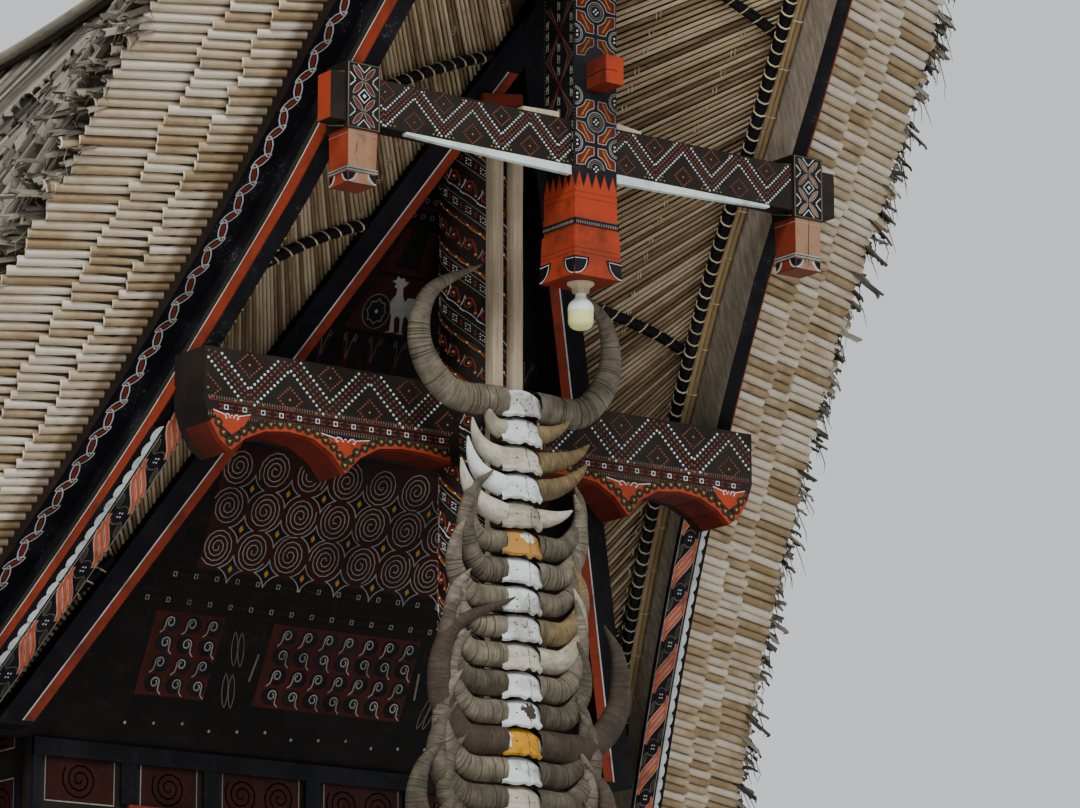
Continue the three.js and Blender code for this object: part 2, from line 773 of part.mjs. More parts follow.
function hornRing(centre, forward, radius) {
  const side = new THREE.Vector3(0, 1, 0);
  const up = new THREE.Vector3().crossVectors(forward, side).normalize();
  const ring = [];
  for (let i = 0; i < HORN_SIDES; i += 1) {
    const angle = (2 * Math.PI * i) / HORN_SIDES;
    const point = centre.clone()
      .addScaledVector(side, radius * HORN_THICK.flat * Math.cos(angle))
      .addScaledVector(up, radius * Math.sin(angle));
    ring.push(point.toArray());
  }
  return ring;
}

// One horn from the side of its skull: out and a little down, then up and in to its tip.
function horn(side, z, out, rise, tip) {
  const y = -(SKULL.back + SKULL.front) / 2;
  const { lerp } = THREE.MathUtils;
  const bends = [
    [HORN_FOOT, 0],
    [lerp(HORN_FOOT, out, HORN_DIP.along), -HORN_DIP.drop * rise],
    [out, HORN_SIDE * rise],
    [lerp(tip, out, HORN_TURN.along), HORN_TURN.rise * rise],
    [tip, rise],
  ];
  const points = bends.map(([x, dz], i) => new THREE.Vector3(side * x, y + HORN_FORWARD[i], z + dz));
  const curve = new THREE.CatmullRomCurve3(points);
  const thick = HORN_THICK.base + HORN_THICK.growth * (out + rise);
  const rings = [];
  for (let i = 0; i <= HORN_STEPS; i += 1) {
    const t = i / HORN_STEPS;
    const radius = lerp(thick, HORN_THICK.tip, t ** HORN_THICK.power);
    rings.push(hornRing(curve.getPoint(t), curve.getTangent(t), radius));
  }
  const flat = rings[0].map((_, i) => {
    const angle = (2 * Math.PI * i) / HORN_SIDES;
    return [Math.cos(angle), Math.sin(angle)];
  });
  return loft(rings, outlineFaces(flat));
}

function hornStack() {
  const half = SKULL.height / 2;
  const pieces = HORNS.flatMap(([leftOut, leftRise, leftTip, rightOut, rightRise, rightTip], i) => {
    const z = HORN_TOP_Z - i * HORN_PITCH;
    return [
      boxBetween(-SKULL.half, SKULL.half, -SKULL.front, -SKULL.back, z - half, z + half),
      horn(-1, z, leftOut, leftRise, leftTip),
      horn(1, z, rightOut, rightRise, rightTip),
    ];
  });
  return join(...pieces);
}

// The parts of one end of the house

function buildEnd(label, end) {
  addNode(`${label}_gable_wall`, gableWall(end), 'carved');
  addNode(`${label}_wall`, endWall(end), 'carved');
  addNode(`${label}_end_post`, endPost(end), 'carved');
  addNode(`${label}_middle_beam`, middleBeam(end), 'black');
  addNode(`${label}_hanging_post`, hangingPost(end), 'orange');
  addNode(`${label}_upper_beam`, upperBeam(end), 'carved');
  for (const [word, side] of [['left', -1], ['right', 1]]) {
    addNode(`${label}_${word}_rafter`, rafter(side, end), 'black');
    addNode(`${label}_${word}_lower_beam`, lowerBeam(side, end), 'carved');
    addNode(`${label}_${word}_cap`, cap(side, end), 'orange');
    addNode(`${label}_${word}_barge_board`, bargeBoard(side, end), 'black');
    addNode(`${label}_${word}_soffit`, soffit(side, end), 'soffit');
  }
}

function buildSubstructure() {
  ['left', 'middle', 'right'].forEach((word, i) => {
    addNode(`${word}_pile_row`, pileRow(PILE_X[i]), 'weathered');
  });
  PILE_Y.forEach((y, i) => {
    addNode(`cross_tie_${i + 1}`, crossTie(y), 'weathered');
  });
  addNode('floor_frame', floorFrame(), 'weathered');
  const deck = boxBetween(
    -FLOOR_HALF_WIDTH,
    FLOOR_HALF_WIDTH,
    -FLOOR_HALF_LENGTH,
    FLOOR_HALF_LENGTH,
    JOIST.top + GAP,
    FLOOR_TOP,
  );
  addNode('floor_deck', deck, 'timber');
}

function buildBody() {
  addNode('left_wall', sideWall(-1, true), 'carved');
  addNode('right_wall', sideWall(1, false), 'carved');
  addNode('left_wall_plate', wallPlate(-1), 'timber');
  addNode('right_wall_plate', wallPlate(1), 'timber');
  addNode('ridge_beam', ridgeBeam(), 'timber');
  addNode('left_roof', roofSlope(-1), 'bamboo');
  addNode('right_roof', roofSlope(1), 'bamboo');
}

buildSubstructure();
buildBody();
buildEnd('front', 1);
buildEnd('back', -1);
addNode('left_horn_batten', batten(-1), 'bare');
addNode('right_horn_batten', batten(1), 'bare');
addNode('buffalo_horns', hornStack(), 'horn', 0.6);
addNode('lamp_socket', lampSocket(), 'cream', 0.5);
addNode('lamp_bulb', lampBulb(), 'glass', 0.3);

export default group;
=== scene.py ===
# Looks of a carved wooden house on piles with a saddle roof of layered bamboo.
# Metres, +Z up. The front faces -Y. A place is given as (w, u, z): w out from the middle plane,
# u out from the middle of the length, z up. side is -1 left, 1 right; end is 1 front, -1 back.

import math
import random
from bisect import bisect_left
from functools import partial

import bpy
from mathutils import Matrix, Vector


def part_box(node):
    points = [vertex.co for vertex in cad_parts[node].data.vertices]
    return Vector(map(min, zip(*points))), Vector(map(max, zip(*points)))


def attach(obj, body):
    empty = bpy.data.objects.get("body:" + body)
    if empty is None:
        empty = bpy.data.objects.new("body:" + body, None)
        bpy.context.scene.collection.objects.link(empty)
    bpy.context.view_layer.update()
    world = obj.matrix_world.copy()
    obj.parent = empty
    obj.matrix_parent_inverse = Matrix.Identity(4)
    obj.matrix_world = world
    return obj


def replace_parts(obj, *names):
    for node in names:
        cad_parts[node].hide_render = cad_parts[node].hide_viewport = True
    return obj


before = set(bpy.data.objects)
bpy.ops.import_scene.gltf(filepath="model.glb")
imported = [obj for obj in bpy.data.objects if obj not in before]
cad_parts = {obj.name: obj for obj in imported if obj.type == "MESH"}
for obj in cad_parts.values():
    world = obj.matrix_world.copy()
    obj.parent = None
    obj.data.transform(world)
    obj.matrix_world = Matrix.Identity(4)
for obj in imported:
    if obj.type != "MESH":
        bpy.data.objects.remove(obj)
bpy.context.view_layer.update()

BODY = "root"
SIDES = {"left": -1, "right": 1}
ENDS = {"front": 1, "back": -1}
SINK = 0.0008

# Verge of the roof: half-width of its front corner, and height, from tip to eave
VERGE_POINTS = [
    (0.170, 10.400), (0.410, 9.900), (0.640, 9.000), (0.870, 8.000), (1.103, 6.861), (1.217, 6.294),
    (1.306, 5.768), (1.465, 5.131), (1.554, 4.804), (1.684, 4.403), (1.852, 3.936), (2.100, 3.300),
]
VERGE_STEPS = 24
VERGE_LEAN = 0.8
VERGE_U0 = 4.849
VERGE_Z0 = 5.492
VERGE_TOP = 10.4
BARGE_FACE = 0.08
CARVED_WIDTH = 0.15
CARVED_DEPTH = 0.3

ROSE_PITCH = 0.295
FACING_LOW = 3.34
FACING_HIGH = 4.86
FACING_INNER = -0.163
FACING_WIDTH = 0.172
FACING_PROUD = 0.02

# Roof
RIDGE_MID_Z = 7.2
MIDDLE_DROP = 4.1
EAVE_MIDDLE_W = 2.3
EAVE_END_W = 2.25
RIDGE_TIP_Z = 10.75
EAVE_Z = 3.3
ROOF_OUT = 0.78
ROOF_BACK = 0.32
ROOF_MID_OUT = 0.5
ROOF_MID_UP = 0.35
RIDGE_THICK = 0.6
ROUNDING = 0.07

# Leaning gable
APEX_Z = 6.595
APEX_U = 4.946
GABLE_LEAN = 0.52
RAFTER_SPREAD = 0.537
RAFTER_FACE = 0.173
RAFTER_FOOT_Z = 3.62
GABLE_WALL_BACK = 0.1503

# Posts and beams
POST_U = 4.6
POST_RADIUS = 0.184
LOWER_U = 4.68
LOWER_TOP = 5.13
LOWER_BOARD = 4.885
LOWER_OUTER = 1.51
UPPER_U = 5.46
UPPER_TOP = 6.2
UPPER_BOTTOM = 5.99
UPPER_BACK = 5.36
UPPER_REACH = 1.387
HANG_U = 5.485
HANG_MIDDLE = 5.37
HANG_HALF = 0.115
HANG_BOTTOM = 5.49
HANG_TOP = 6.97
FOOT_HALF = 0.128
FOOT_TOP_HALF = 0.122
FOOT_TOP = 5.7
FLAME_FOOT = 5.893
FLAME_TIP = 5.964
FLAME_COUNT = 5
PEG_FRONT = 5.625
PEG_HALF = 0.048
PEG_LOW = 6.345
PEG_HIGH = 6.475
CAP_U = 5.47
CAP_INNER = 1.14
CAP_OUTER = 1.31
CAP_MIDDLE = 1.225
CAP_LOW = 5.958
CAP_HIGH = 6.255
CAP_RIBS = 8
PENDANT_U = 5.39
PENDANT_LOW = 5.72
PENDANT_LOW_HALF = 0.07
PENDANT_HALF = 0.074

# Bands round the end post: a rope of them climbs to the left, and repeats
POST_CARVED = (3.05, 6.4)
BAND_START = 5.746
BAND_SLOPE = 0.77
BAND_PERIOD = 0.548

# Buffalo horns: for each pair the left horn and then the right one, as how far out it reaches,
# how far its tip rises and how far out the tip is
HORN_TOP = 5.027
HORN_PITCH = 0.1273
HORN_FOOT = 0.086
HORN_U = 4.905
HORN_FORWARD = (0, 0.004, -0.004, -0.024, -0.044)
HORNS = [
    (0.555, 0.600, 0.240, 0.510, 0.590, 0.250),
    (0.200, 0.127, 0.200, 0.250, 0.080, 0.250),
    (0.285, 0.150, 0.285, 0.360, 0.110, 0.360),
    (0.310, 0.190, 0.310, 0.350, 0.150, 0.350),
    (0.346, 0.216, 0.346, 0.264, 0.050, 0.264),
    (0.270, 0.220, 0.240, 0.330, 0.290, 0.280),
    (0.300, 0.437, 0.170, 0.330, 0.380, 0.275),
    (0.360, 0.328, 0.320, 0.300, 0.250, 0.270),
    (0.330, 0.210, 0.300, 0.340, 0.300, 0.270),
    (0.370, 0.360, 0.290, 0.330, 0.330, 0.270),
    (0.400, 0.380, 0.330, 0.330, 0.410, 0.285),
    (0.370, 0.340, 0.290, 0.350, 0.350, 0.290),
    (0.440, 0.640, 0.050, 0.555, 0.565, 0.440),
    (0.420, 0.420, 0.330, 0.360, 0.360, 0.280),
    (0.450, 0.400, 0.360, 0.400, 0.420, 0.300),
    (0.400, 0.390, 0.310, 0.380, 0.370, 0.300),
    (0.550, 0.480, 0.430, 0.480, 0.440, 0.330),
    (0.430, 0.400, 0.320, 0.420, 0.410, 0.320),
    (0.450, 0.420, 0.340, 0.430, 0.400, 0.340),
    (0.440, 0.430, 0.330, 0.450, 0.420, 0.350),
]
# For each pair: the skull's finish and those of its horns
HORN_LOOKS = [
    ("white_skull", "horn", "horn"), ("white_skull", "bone", "brown_horn"), ("bone", "bone", "brown_horn"),
    ("white_skull", "white_skull", "brown_horn"), ("bone", "bone", "bone"), ("ochre_skull", "horn", "horn"),
    ("white_skull", "horn", "horn"), ("white_skull", "horn", "horn"), ("white_skull", "horn", "brown_horn"),
    ("bone", "horn", "bone"), ("white_skull", "horn", "horn"), ("white_skull", "horn", "horn"),
    ("yellow_skull", "dark_horn", "dark_horn"), ("white_skull", "horn", "horn"), ("bone", "horn", "horn"),
    ("white_skull", "horn", "horn"), ("white_skull", "horn", "dark_horn"), ("bone", "horn", "horn"),
    ("white_skull", "horn", "horn"), ("bone", "horn", "horn"),
]
SKULL_HALF = 0.112
SKULL_TALL = 0.127
SKULL_BACK = 4.828
SKULL_FRONT = 4.962
SKULL_ROUND = 0.042
SKULL_SLOPE = 0.014
HORN_RING_STEP = 0.007
HORN_FLAT = 0.82
# Patches of another finish on a skull: middle across, middle up, half-width, half-height, all from -1 to 1
SKULL_PATCHES = {
    5: [("white_skull", 0.15, 0.45, 0.36, 0.42)],
    6: [("worn_skull", 0.2, -0.85, 0.9, 0.42)],
    8: [("worn_skull", 0.1, -0.9, 0.8, 0.36)],
    10: [("worn_skull", 0.1, -0.05, 0.62, 0.45)],
    11: [("dark_horn", 0.25, 0.1, 0.3, 0.6), ("dark_horn", 0.0, 0.3, 0.25, 0.2)],
    12: [("white_skull", -0.95, 0.2, 0.33, 0.9), ("white_skull", 0.98, -0.1, 0.2, 0.8)],
}

# Battens behind the skulls: their left and right edges, their faces and their ends
BATTENS = {-1: (-0.09, -0.034), 1: (0.019, 0.075)}
BATTEN_FRONT = 4.832
BATTEN_BACK = 4.772
BATTEN_LOW = 2.5
BATTEN_HIGH = 6.23
BATTEN_CHAMFER = 0.003
BATTEN_STEPS = 26

# Leaning wall's carving: first place across and up, and the pitch of the rows, of its spirals and hooks
SPIRAL_FIRST = (-0.041, 4.822)
SPIRAL_PITCH = (0.1955, 0.172)
HOOK_FIRST = (0.019, 4.138)
HOOK_PITCH = (0.1137, 0.0865)

# Walls: half-width, bottom and top of their openings, and where these are; bars of their frames
SIDE_WINDOW = (0.25, 2.9, 3.5)
SIDE_DOOR = (0.35, 2.1, 3.5)
SIDE_WINDOW_U = 1.65
END_WINDOW = (0.22, 2.75, 3.25)
END_WINDOW_W = 0.78
WALL_BAR = 0.08
WALL_SPIRAL = 0.26
TIE_Z = 6.43

# Soffit rulings and the beam along its middle
SOFFIT_FOOT = 3.76
SOFFIT_BEND = 6.79
MIDDLE_U0 = 5.0214
MIDDLE_Z0 = 6.74
MIDDLE_RISE = 1.0145
SOFFIT_START = 5.18
SOFFIT_END = 8.2


def mix(a, b, t):
    return a + (b - a) * t


def clamp(value):
    return max(0.0, min(1.0, value))


def place(w, u, z, side=1, end=1):
    return Vector((side * w, -end * u, z))


def arc(a, b, wide, tall, start, stop, steps, growth=1):
    """Points round (a, b) from one angle to another, in degrees; growth is the last reach over the first."""
    path = []
    for k in range(steps + 1):
        angle = math.radians(mix(start, stop, k / steps))
        reach = mix(1, growth, k / steps)
        path.append((a + wide * reach * math.cos(angle), b + tall * reach * math.sin(angle)))
    return path


def oval(a, b, wide, tall, steps):
    return arc(a, b, wide, tall, 0, 360, steps)[:-1]


def rectangle(a0, b0, a1, b1):
    """Its corners, anticlockwise from the lower left one."""
    return [(a0, b0), (a1, b0), (a1, b1), (a0, b1)]


# Curves shared with the part's source

def spline_point(points, position):
    """Point of a uniform Catmull-Rom curve; position counts the points."""
    index = min(int(position), len(points) - 2)
    t = position - index
    p1 = Vector(points[index])
    p2 = Vector(points[index + 1])
    p0 = Vector(points[index - 1]) if index > 0 else 2 * p1 - p2
    p3 = Vector(points[index + 2]) if index + 2 < len(points) else 2 * p2 - p1
    start = (p2 - p0) / 2
    finish = (p3 - p1) / 2
    bend = 3 * (p2 - p1) - 2 * start - finish
    turn = 2 * (p1 - p2) + start + finish
    return p1 + start * t + bend * t * t + turn * t ** 3


def verge_table():
    count = (len(VERGE_POINTS) - 1) * VERGE_STEPS
    return [spline_point(VERGE_POINTS, i / VERGE_STEPS) for i in range(count, -1, -1)]


VERGE_TABLE = verge_table()
VERGE_HEIGHTS = [point[1] for point in VERGE_TABLE]


def verge_w(z):
    index = min(max(bisect_left(VERGE_HEIGHTS, z), 1), len(VERGE_TABLE) - 1)
    low = VERGE_TABLE[index - 1]
    high = VERGE_TABLE[index]
    return mix(low[0], high[0], (z - low[1]) / (high[1] - low[1]))


def verge_u(z):
    return VERGE_U0 + VERGE_LEAN * (z - VERGE_Z0)


def roof_edge(t):
    z = mix(RIDGE_TIP_Z, EAVE_Z, t)
    w = verge_w(min(z, VERGE_TOP)) + CARVED_WIDTH
    if z > VERGE_TOP:
        w *= math.sqrt((RIDGE_TIP_Z - z) / (RIDGE_TIP_Z - VERGE_TOP))
    return w, verge_u(z) - CARVED_DEPTH, z


def roof_point(s, t):
    """Point of the roof in (w, u, z): s runs from -1 at one end to 1 at the other, t from ridge to eave."""
    edge_w, edge_u, edge_z = roof_edge(t)
    bulge = 1 - math.exp(-t / ROUNDING)
    lift = RIDGE_THICK * (1 - bulge)
    middle_w = edge_w * EAVE_MIDDLE_W / EAVE_END_W
    middle_z = RIDGE_MID_Z - MIDDLE_DROP * middle_w / EAVE_MIDDLE_W
    reach = abs(s)
    w = mix(middle_w + ROOF_MID_OUT * bulge, edge_w + ROOF_OUT * bulge, reach)
    z0 = middle_z + ROOF_MID_UP * bulge * (1 - t) + lift
    z1 = edge_z + lift
    return Vector((w, s * (edge_u - ROOF_BACK * bulge), z0 + (z1 - z0) * reach * reach))


def gable_u(z):
    return APEX_U - GABLE_LEAN * (APEX_Z - z)


def rafter_inner(z):
    return RAFTER_SPREAD * (APEX_Z - z)


def soffit_inner(position):
    """Inner end of a ruling: position counts metres of height up the rafter, then along the middle beam."""
    z = SOFFIT_FOOT + position
    if z <= SOFFIT_BEND:
        return Vector((rafter_inner(z) + RAFTER_FACE, gable_u(z) - 0.1, z))
    u = SOFFIT_START + z - SOFFIT_BEND
    return Vector((0.06, u, MIDDLE_Z0 + (u - MIDDLE_U0) * MIDDLE_RISE + 0.09))


def soffit_outer(position):
    z = soffit_inner(position)[2]
    z += 0.02 + 0.4 * clamp((z - SOFFIT_FOOT) / 1.2) * clamp((10.13 - z) / 3.1)
    return Vector((verge_w(z) - BARGE_FACE - 0.008, verge_u(z) - 0.33, z))


SOFFIT_LENGTH = SOFFIT_BEND - SOFFIT_FOOT + SOFFIT_END - SOFFIT_START


def soffit_point(position, across, lift=0.0):
    """Point of the soffit: across runs from 0 at the rafter to 1 at the barge board, lift is out of it."""
    point = soffit_inner(position).lerp(soffit_outer(position), across)
    along = soffit_inner(position + 0.01) - soffit_inner(position - 0.01)
    ruling = soffit_outer(position) - soffit_inner(position)
    normal = along.cross(ruling).normalized()
    if normal[1] < 0:
        normal = -normal
    return point + normal * lift


def soffit_place(position, across, lift, side, end):
    w, u, z = soffit_point(position, across, lift)
    return place(w, u, z, side, end)


# Finishes

def tone(code):
    """Colour from six hex digits, as Blender's linear numbers."""
    parts = [int(code[i:i + 2], 16) / 255 for i in (0, 2, 4)]
    return tuple(p / 12.92 if p <= 0.04045 else ((p + 0.055) / 1.055) ** 2.4 for p in parts) + (1.0,)


class Graph:
    """A material's nodes, with short names for the few kinds that the finishes use."""

    def __init__(self, name, coordinates):
        self.material = bpy.data.materials.new(name)
        self.material.use_nodes = True
        self.tree = self.material.node_tree
        self.shader = self.tree.nodes["Principled BSDF"]
        self.source = self.node("ShaderNodeTexCoord").outputs[coordinates]
        self.geometry = self.node("ShaderNodeNewGeometry")

    def node(self, kind, **settings):
        made = self.tree.nodes.new(kind)
        for key, value in settings.items():
            setattr(made, key, value)
        return made

    def put(self, value, target):
        if isinstance(value, bpy.types.NodeSocket):
            self.tree.links.new(value, target)
        else:
            target.default_value = value

    def noise(self, scale, stretch=(1, 1, 1), detail=4, roughness=0.6):
        spread = self.node("ShaderNodeMapping")
        spread.inputs["Scale"].default_value = stretch
        self.put(self.source, spread.inputs["Vector"])
        texture = self.node("ShaderNodeTexNoise")
        texture.inputs["Scale"].default_value = scale
        texture.inputs["Detail"].default_value = detail
        texture.inputs["Roughness"].default_value = roughness
        self.put(spread.outputs["Vector"], texture.inputs["Vector"])
        return texture.outputs["Fac"]

    def ramp(self, value, stops):
        made = self.node("ShaderNodeValToRGB")
        elements = made.color_ramp.elements
        while len(elements) < len(stops):
            elements.new(0.5)
        for element, (position, colour) in zip(elements, stops):
            element.position = position
            element.color = colour
        self.put(value, made.inputs["Fac"])
        return made.outputs["Color"]

    def mask(self, value, low, high):
        made = self.node("ShaderNodeMapRange", interpolation_type="SMOOTHSTEP")
        made.inputs["From Min"].default_value = low
        made.inputs["From Max"].default_value = high
        self.put(value, made.inputs["Value"])
        return made.outputs["Result"]

    def mixed(self, factor, a, b):
        made = self.node("ShaderNodeMix", data_type="RGBA")
        self.put(factor, made.inputs[0])
        self.put(a, made.inputs[6])
        self.put(b, made.inputs[7])
        return made.outputs[2]

    def math(self, operation, a, b):
        made = self.node("ShaderNodeMath", operation=operation)
        self.put(a, made.inputs[0])
        self.put(b, made.inputs[1])
        return made.outputs[0]

    def scaled(self, value, low, high):
        made = self.node("ShaderNodeMapRange")
        made.inputs["To Min"].default_value = low
        made.inputs["To Max"].default_value = high
        self.put(value, made.inputs["Value"])
        return made.outputs["Result"]

    def across(self, axis):
        """One of the three coordinates."""
        parts = self.node("ShaderNodeSeparateXYZ")
        self.put(self.source, parts.inputs[0])
        return parts.outputs[axis]

    def world_height(self):
        """Height over the ground, because every piece has its origin at the ground."""
        parts = self.node("ShaderNodeSeparateXYZ")
        self.put(self.node("ShaderNodeTexCoord").outputs["Object"], parts.inputs[0])
        return parts.outputs[2]

    def facing(self, axis, low, high):
        """1 where the surface faces along the axis, 0 elsewhere."""
        parts = self.node("ShaderNodeSeparateXYZ")
        self.put(self.geometry.outputs["Normal"], parts.inputs[0])
        return self.mask(parts.outputs[axis], low, high)

    def finish(self, colour, roughness, height, depth, gloss=0.25):
        self.put(colour, self.shader.inputs["Base Color"])
        self.shader.inputs["Specular IOR Level"].default_value = gloss
        self.put(roughness, self.shader.inputs["Roughness"])
        bump = self.node("ShaderNodeBump")
        bump.inputs["Strength"].default_value = 1.0
        bump.inputs["Distance"].default_value = depth
        self.put(height, bump.inputs["Height"])
        self.put(bump.outputs["Normal"], self.shader.inputs["Normal"])
        return self.material


# Values of the noise at the first and last tone, and those between which a crack opens
TONE_RANGE = (0.25, 0.75)
CRACK_EDGE = (0.36, 0.3)
# Metres from a stick's start over which its darker start tone fades: dirt, and painted shade where a verge
# tube comes out from under the course before it
START_SHADE_EDGE = (0.115, 0.055)
GRAIN_ROUGH = (0.6, 0.9)
CRACK_TONE = "241c15"
# Tone of the painted shade that darkens slats and horns lower down
PAINTED_SHADE_TONE = "2a2119"
GRIME_TONE = "2a211a"


def grained(name, tones, stretch, coordinates, fine, islands, depth,
            start=None, coarse=1.7, streaky=0.5, crack=0.55, painted_shade=None):
    """Wood or bamboo: streaks along the grain, patches, and another tone for each separate stick.

    start is the darker tone near a stick's first end, where its grain coordinate has just passed a whole
    number: dirt, and painted shade under the end of the course before it.
    The last argument gives two heights: from the first down to the second the surface darkens, as painted
    shade.
    """
    graph = Graph(name, coordinates)
    streaks = graph.noise(fine, stretch, detail=6)
    patches = graph.noise(coarse, detail=3)
    chance = graph.geometry.outputs["Random Per Island"]
    blend = graph.math("ADD", graph.math("MULTIPLY", streaks, streaky),
                       graph.math("MULTIPLY", patches, 1 - streaky))
    shift = graph.math("MULTIPLY", graph.math("SUBTRACT", chance, 0.5), islands)
    value = graph.math("ADD", blend, shift)
    stops = [(mix(*TONE_RANGE, i / (len(tones) - 1)), tone(code)) for i, code in enumerate(tones)]
    colour = graph.ramp(value, stops)
    cracks = graph.mask(graph.noise(fine * 1.6, stretch, detail=3), *CRACK_EDGE)
    colour = graph.mixed(graph.math("MULTIPLY", cracks, crack), colour, tone(CRACK_TONE))
    if start:
        distance = graph.math("FRACT", graph.across(0), 0)
        part = graph.math("ADD", distance, graph.math("MULTIPLY", streaks, 0.03))
        colour = graph.mixed(graph.math("MULTIPLY", graph.mask(part, *START_SHADE_EDGE), 0.8), colour, tone(start))
    # Darker lower down: painted shade
    if painted_shade:
        height = graph.math("MULTIPLY", graph.mask(graph.world_height(), *painted_shade), 0.45)
        colour = graph.mixed(height, colour, tone(PAINTED_SHADE_TONE))
    roughness = graph.scaled(streaks, *GRAIN_ROUGH)
    height = graph.math("SUBTRACT", streaks, graph.math("MULTIPLY", cracks, 0.6))
    return graph.finish(colour, roughness, height, depth)


def painted(name, fresh, faded, under, wear, stretch=(1, 1, 1), rough=(0.45, 0.75), foot=None):
    """Paint on carved wood: faded patches, grime, and chips that show what is under it.

    foot is the tone of faces that look down.
    """
    graph = Graph(name, "Object")
    patches = graph.noise(3.5, stretch, detail=5)
    fine = graph.noise(45, stretch, detail=6, roughness=0.7)
    colour = graph.mixed(graph.mask(patches, 0.42, 0.68), tone(fresh), tone(faded))
    if foot:
        colour = graph.mixed(graph.facing(2, -0.6, -0.7), colour, tone(foot))
    grime = graph.math("MULTIPLY", graph.mask(graph.noise(11, detail=6), 0.5, 0.75), 0.5)
    colour = graph.mixed(grime, colour, tone(GRIME_TONE))
    edge = mix(0.74, 0.56, wear)
    spots = graph.math("ADD", graph.math("MULTIPLY", fine, 0.65), graph.math("MULTIPLY", patches, 0.35))
    chips = graph.mask(spots, edge, edge + 0.02)
    colour = graph.mixed(chips, colour, tone(under))
    roughness = graph.scaled(fine, *rough)
    height = graph.math("SUBTRACT", graph.math("MULTIPLY", fine, 0.5), graph.math("MULTIPLY", chips, 0.5))
    return graph.finish(colour, roughness, height, 0.0015, 0.1)


BARGE_BLACK = ("0e0e13", "1c1c21")
BARGE_FLAKE = "6d6a64"
BARGE_PLANK = ((0.3, "6f6557"), (0.5, "867b6c"), (0.7, "9b8f80"))


def barge_wood(name, side):
    """The barge board: black paint that flakes at the front edge, and a bare grey plank inside."""
    graph = Graph(name, "Object")
    grain = graph.noise(55, (1, 1, 0.06), detail=6)
    patches = graph.noise(4, detail=4)
    fine = graph.noise(70, detail=5, roughness=0.7)
    fresh, faded = BARGE_BLACK
    black = graph.mixed(graph.mask(patches, 0.45, 0.7), tone(fresh), tone(faded))
    spots = graph.math("ADD", graph.math("MULTIPLY", fine, 0.6), graph.math("MULTIPLY", patches, 0.4))
    flakes = graph.mask(spots, 0.6, 0.62)
    black = graph.mixed(graph.math("MULTIPLY", flakes, 0.5), black, tone(BARGE_FLAKE))
    plank = graph.ramp(grain, [(position, tone(code)) for position, code in BARGE_PLANK])
    inward = graph.facing(0, -0.5 * side, -0.7 * side)
    colour = graph.mixed(inward, black, plank)
    return graph.finish(colour, graph.scaled(fine, 0.55, 0.85), graph.math("ADD", grain, fine), 0.0015, 0.12)


# Wood, bamboo and horn: tones from dark to light, stretch of the grain, its coordinates, how fine it is,
# how far separate sticks differ, and the depth of the relief
GRAINED = {
    "culm": (["8d7757", "a69175", "b5a58c", "c0b29d", "cbc2b2"], (0.1, 1, 1), "UV", 150, 0.6, 0.001),
    "culm_end": (["b09c7c", "d3c6aa", "e8dfcc"], (1, 1, 1), "Object", 90, 0.4, 0.001),
    # The inside of a tube's open end is near black: painted shade
    "hollow_end": (["1d1610", "3a2d1f", "57452f"], (1, 1, 1), "Object", 90, 0.4, 0.001),
    "old_culm": (["2d2721", "4d453b", "6f6659", "8c8577"], (0.15, 1, 1), "UV", 90, 0.6, 0.006),
    "slat": (["7d6448", "ad9370", "cfb48f", "e0caab"], (0.1, 1, 1), "UV", 160, 0.5, 0.001),
    "pole": (["77613f", "9a8059", "b09a77"], (0.1, 1, 1), "UV", 120, 0.3, 0.001),
    "rattan": (["8f8063", "b9a988", "d6c9aa"], (1, 1, 1), "Object", 80, 0.3, 0.001),
    "batten": (["8f7d67", "b5a48d", "cfc1ad"], (1, 1, 0.05), "Object", 70, 0.3, 0.001),
    "old_timber": (["2b221a", "463a2d", "61523f", "7a6a55"], (1, 1, 0.08), "Object", 40, 0.0, 0.003),
    "old_timber_long": (["2b221a", "463a2d", "61523f"], (1, 0.08, 1), "Object", 40, 0.0, 0.003),
    "old_timber_cross": (["2b221a", "463a2d", "61523f"], (0.08, 1, 1), "Object", 40, 0.0, 0.003),
    # The roof under the tubes is near black, and so is the soffit under the slats: painted shade seen in the
    # gaps
    "inner_bamboo_shade": (["1a1511", "2e261e", "45392b"], (1, 0.15, 1), "Object", 30, 0.0, 0.006),
    "horn": (["28221b", "4d4639", "6e6556", "968d79"], (1.7, 0.14, 1), "UV", 60, 0.2, 0.006),
    "horn_groove_shade": (["231f19", "3a342a", "544c3e"], (2.2, 1, 1), "UV", 60, 0.2, 0.002),
    "dark_horn": (["241c17", "42362d", "635447"], (1.7, 0.14, 1), "UV", 60, 0.15, 0.006),
    "brown_horn": (["362d20", "5f5138", "856f4b", "6d6454"], (1.7, 0.14, 1), "UV", 60, 0.2, 0.006),
    "bone": (["6a6252", "958d7b", "b7b1a3", "cbc7bd"], (0.3, 1, 1), "UV", 50, 0.2, 0.003),
    "dark_slat": (["1c140d", "32241a", "463523"], (0.1, 1, 1), "Object", 60, 0.3, 0.002),
}
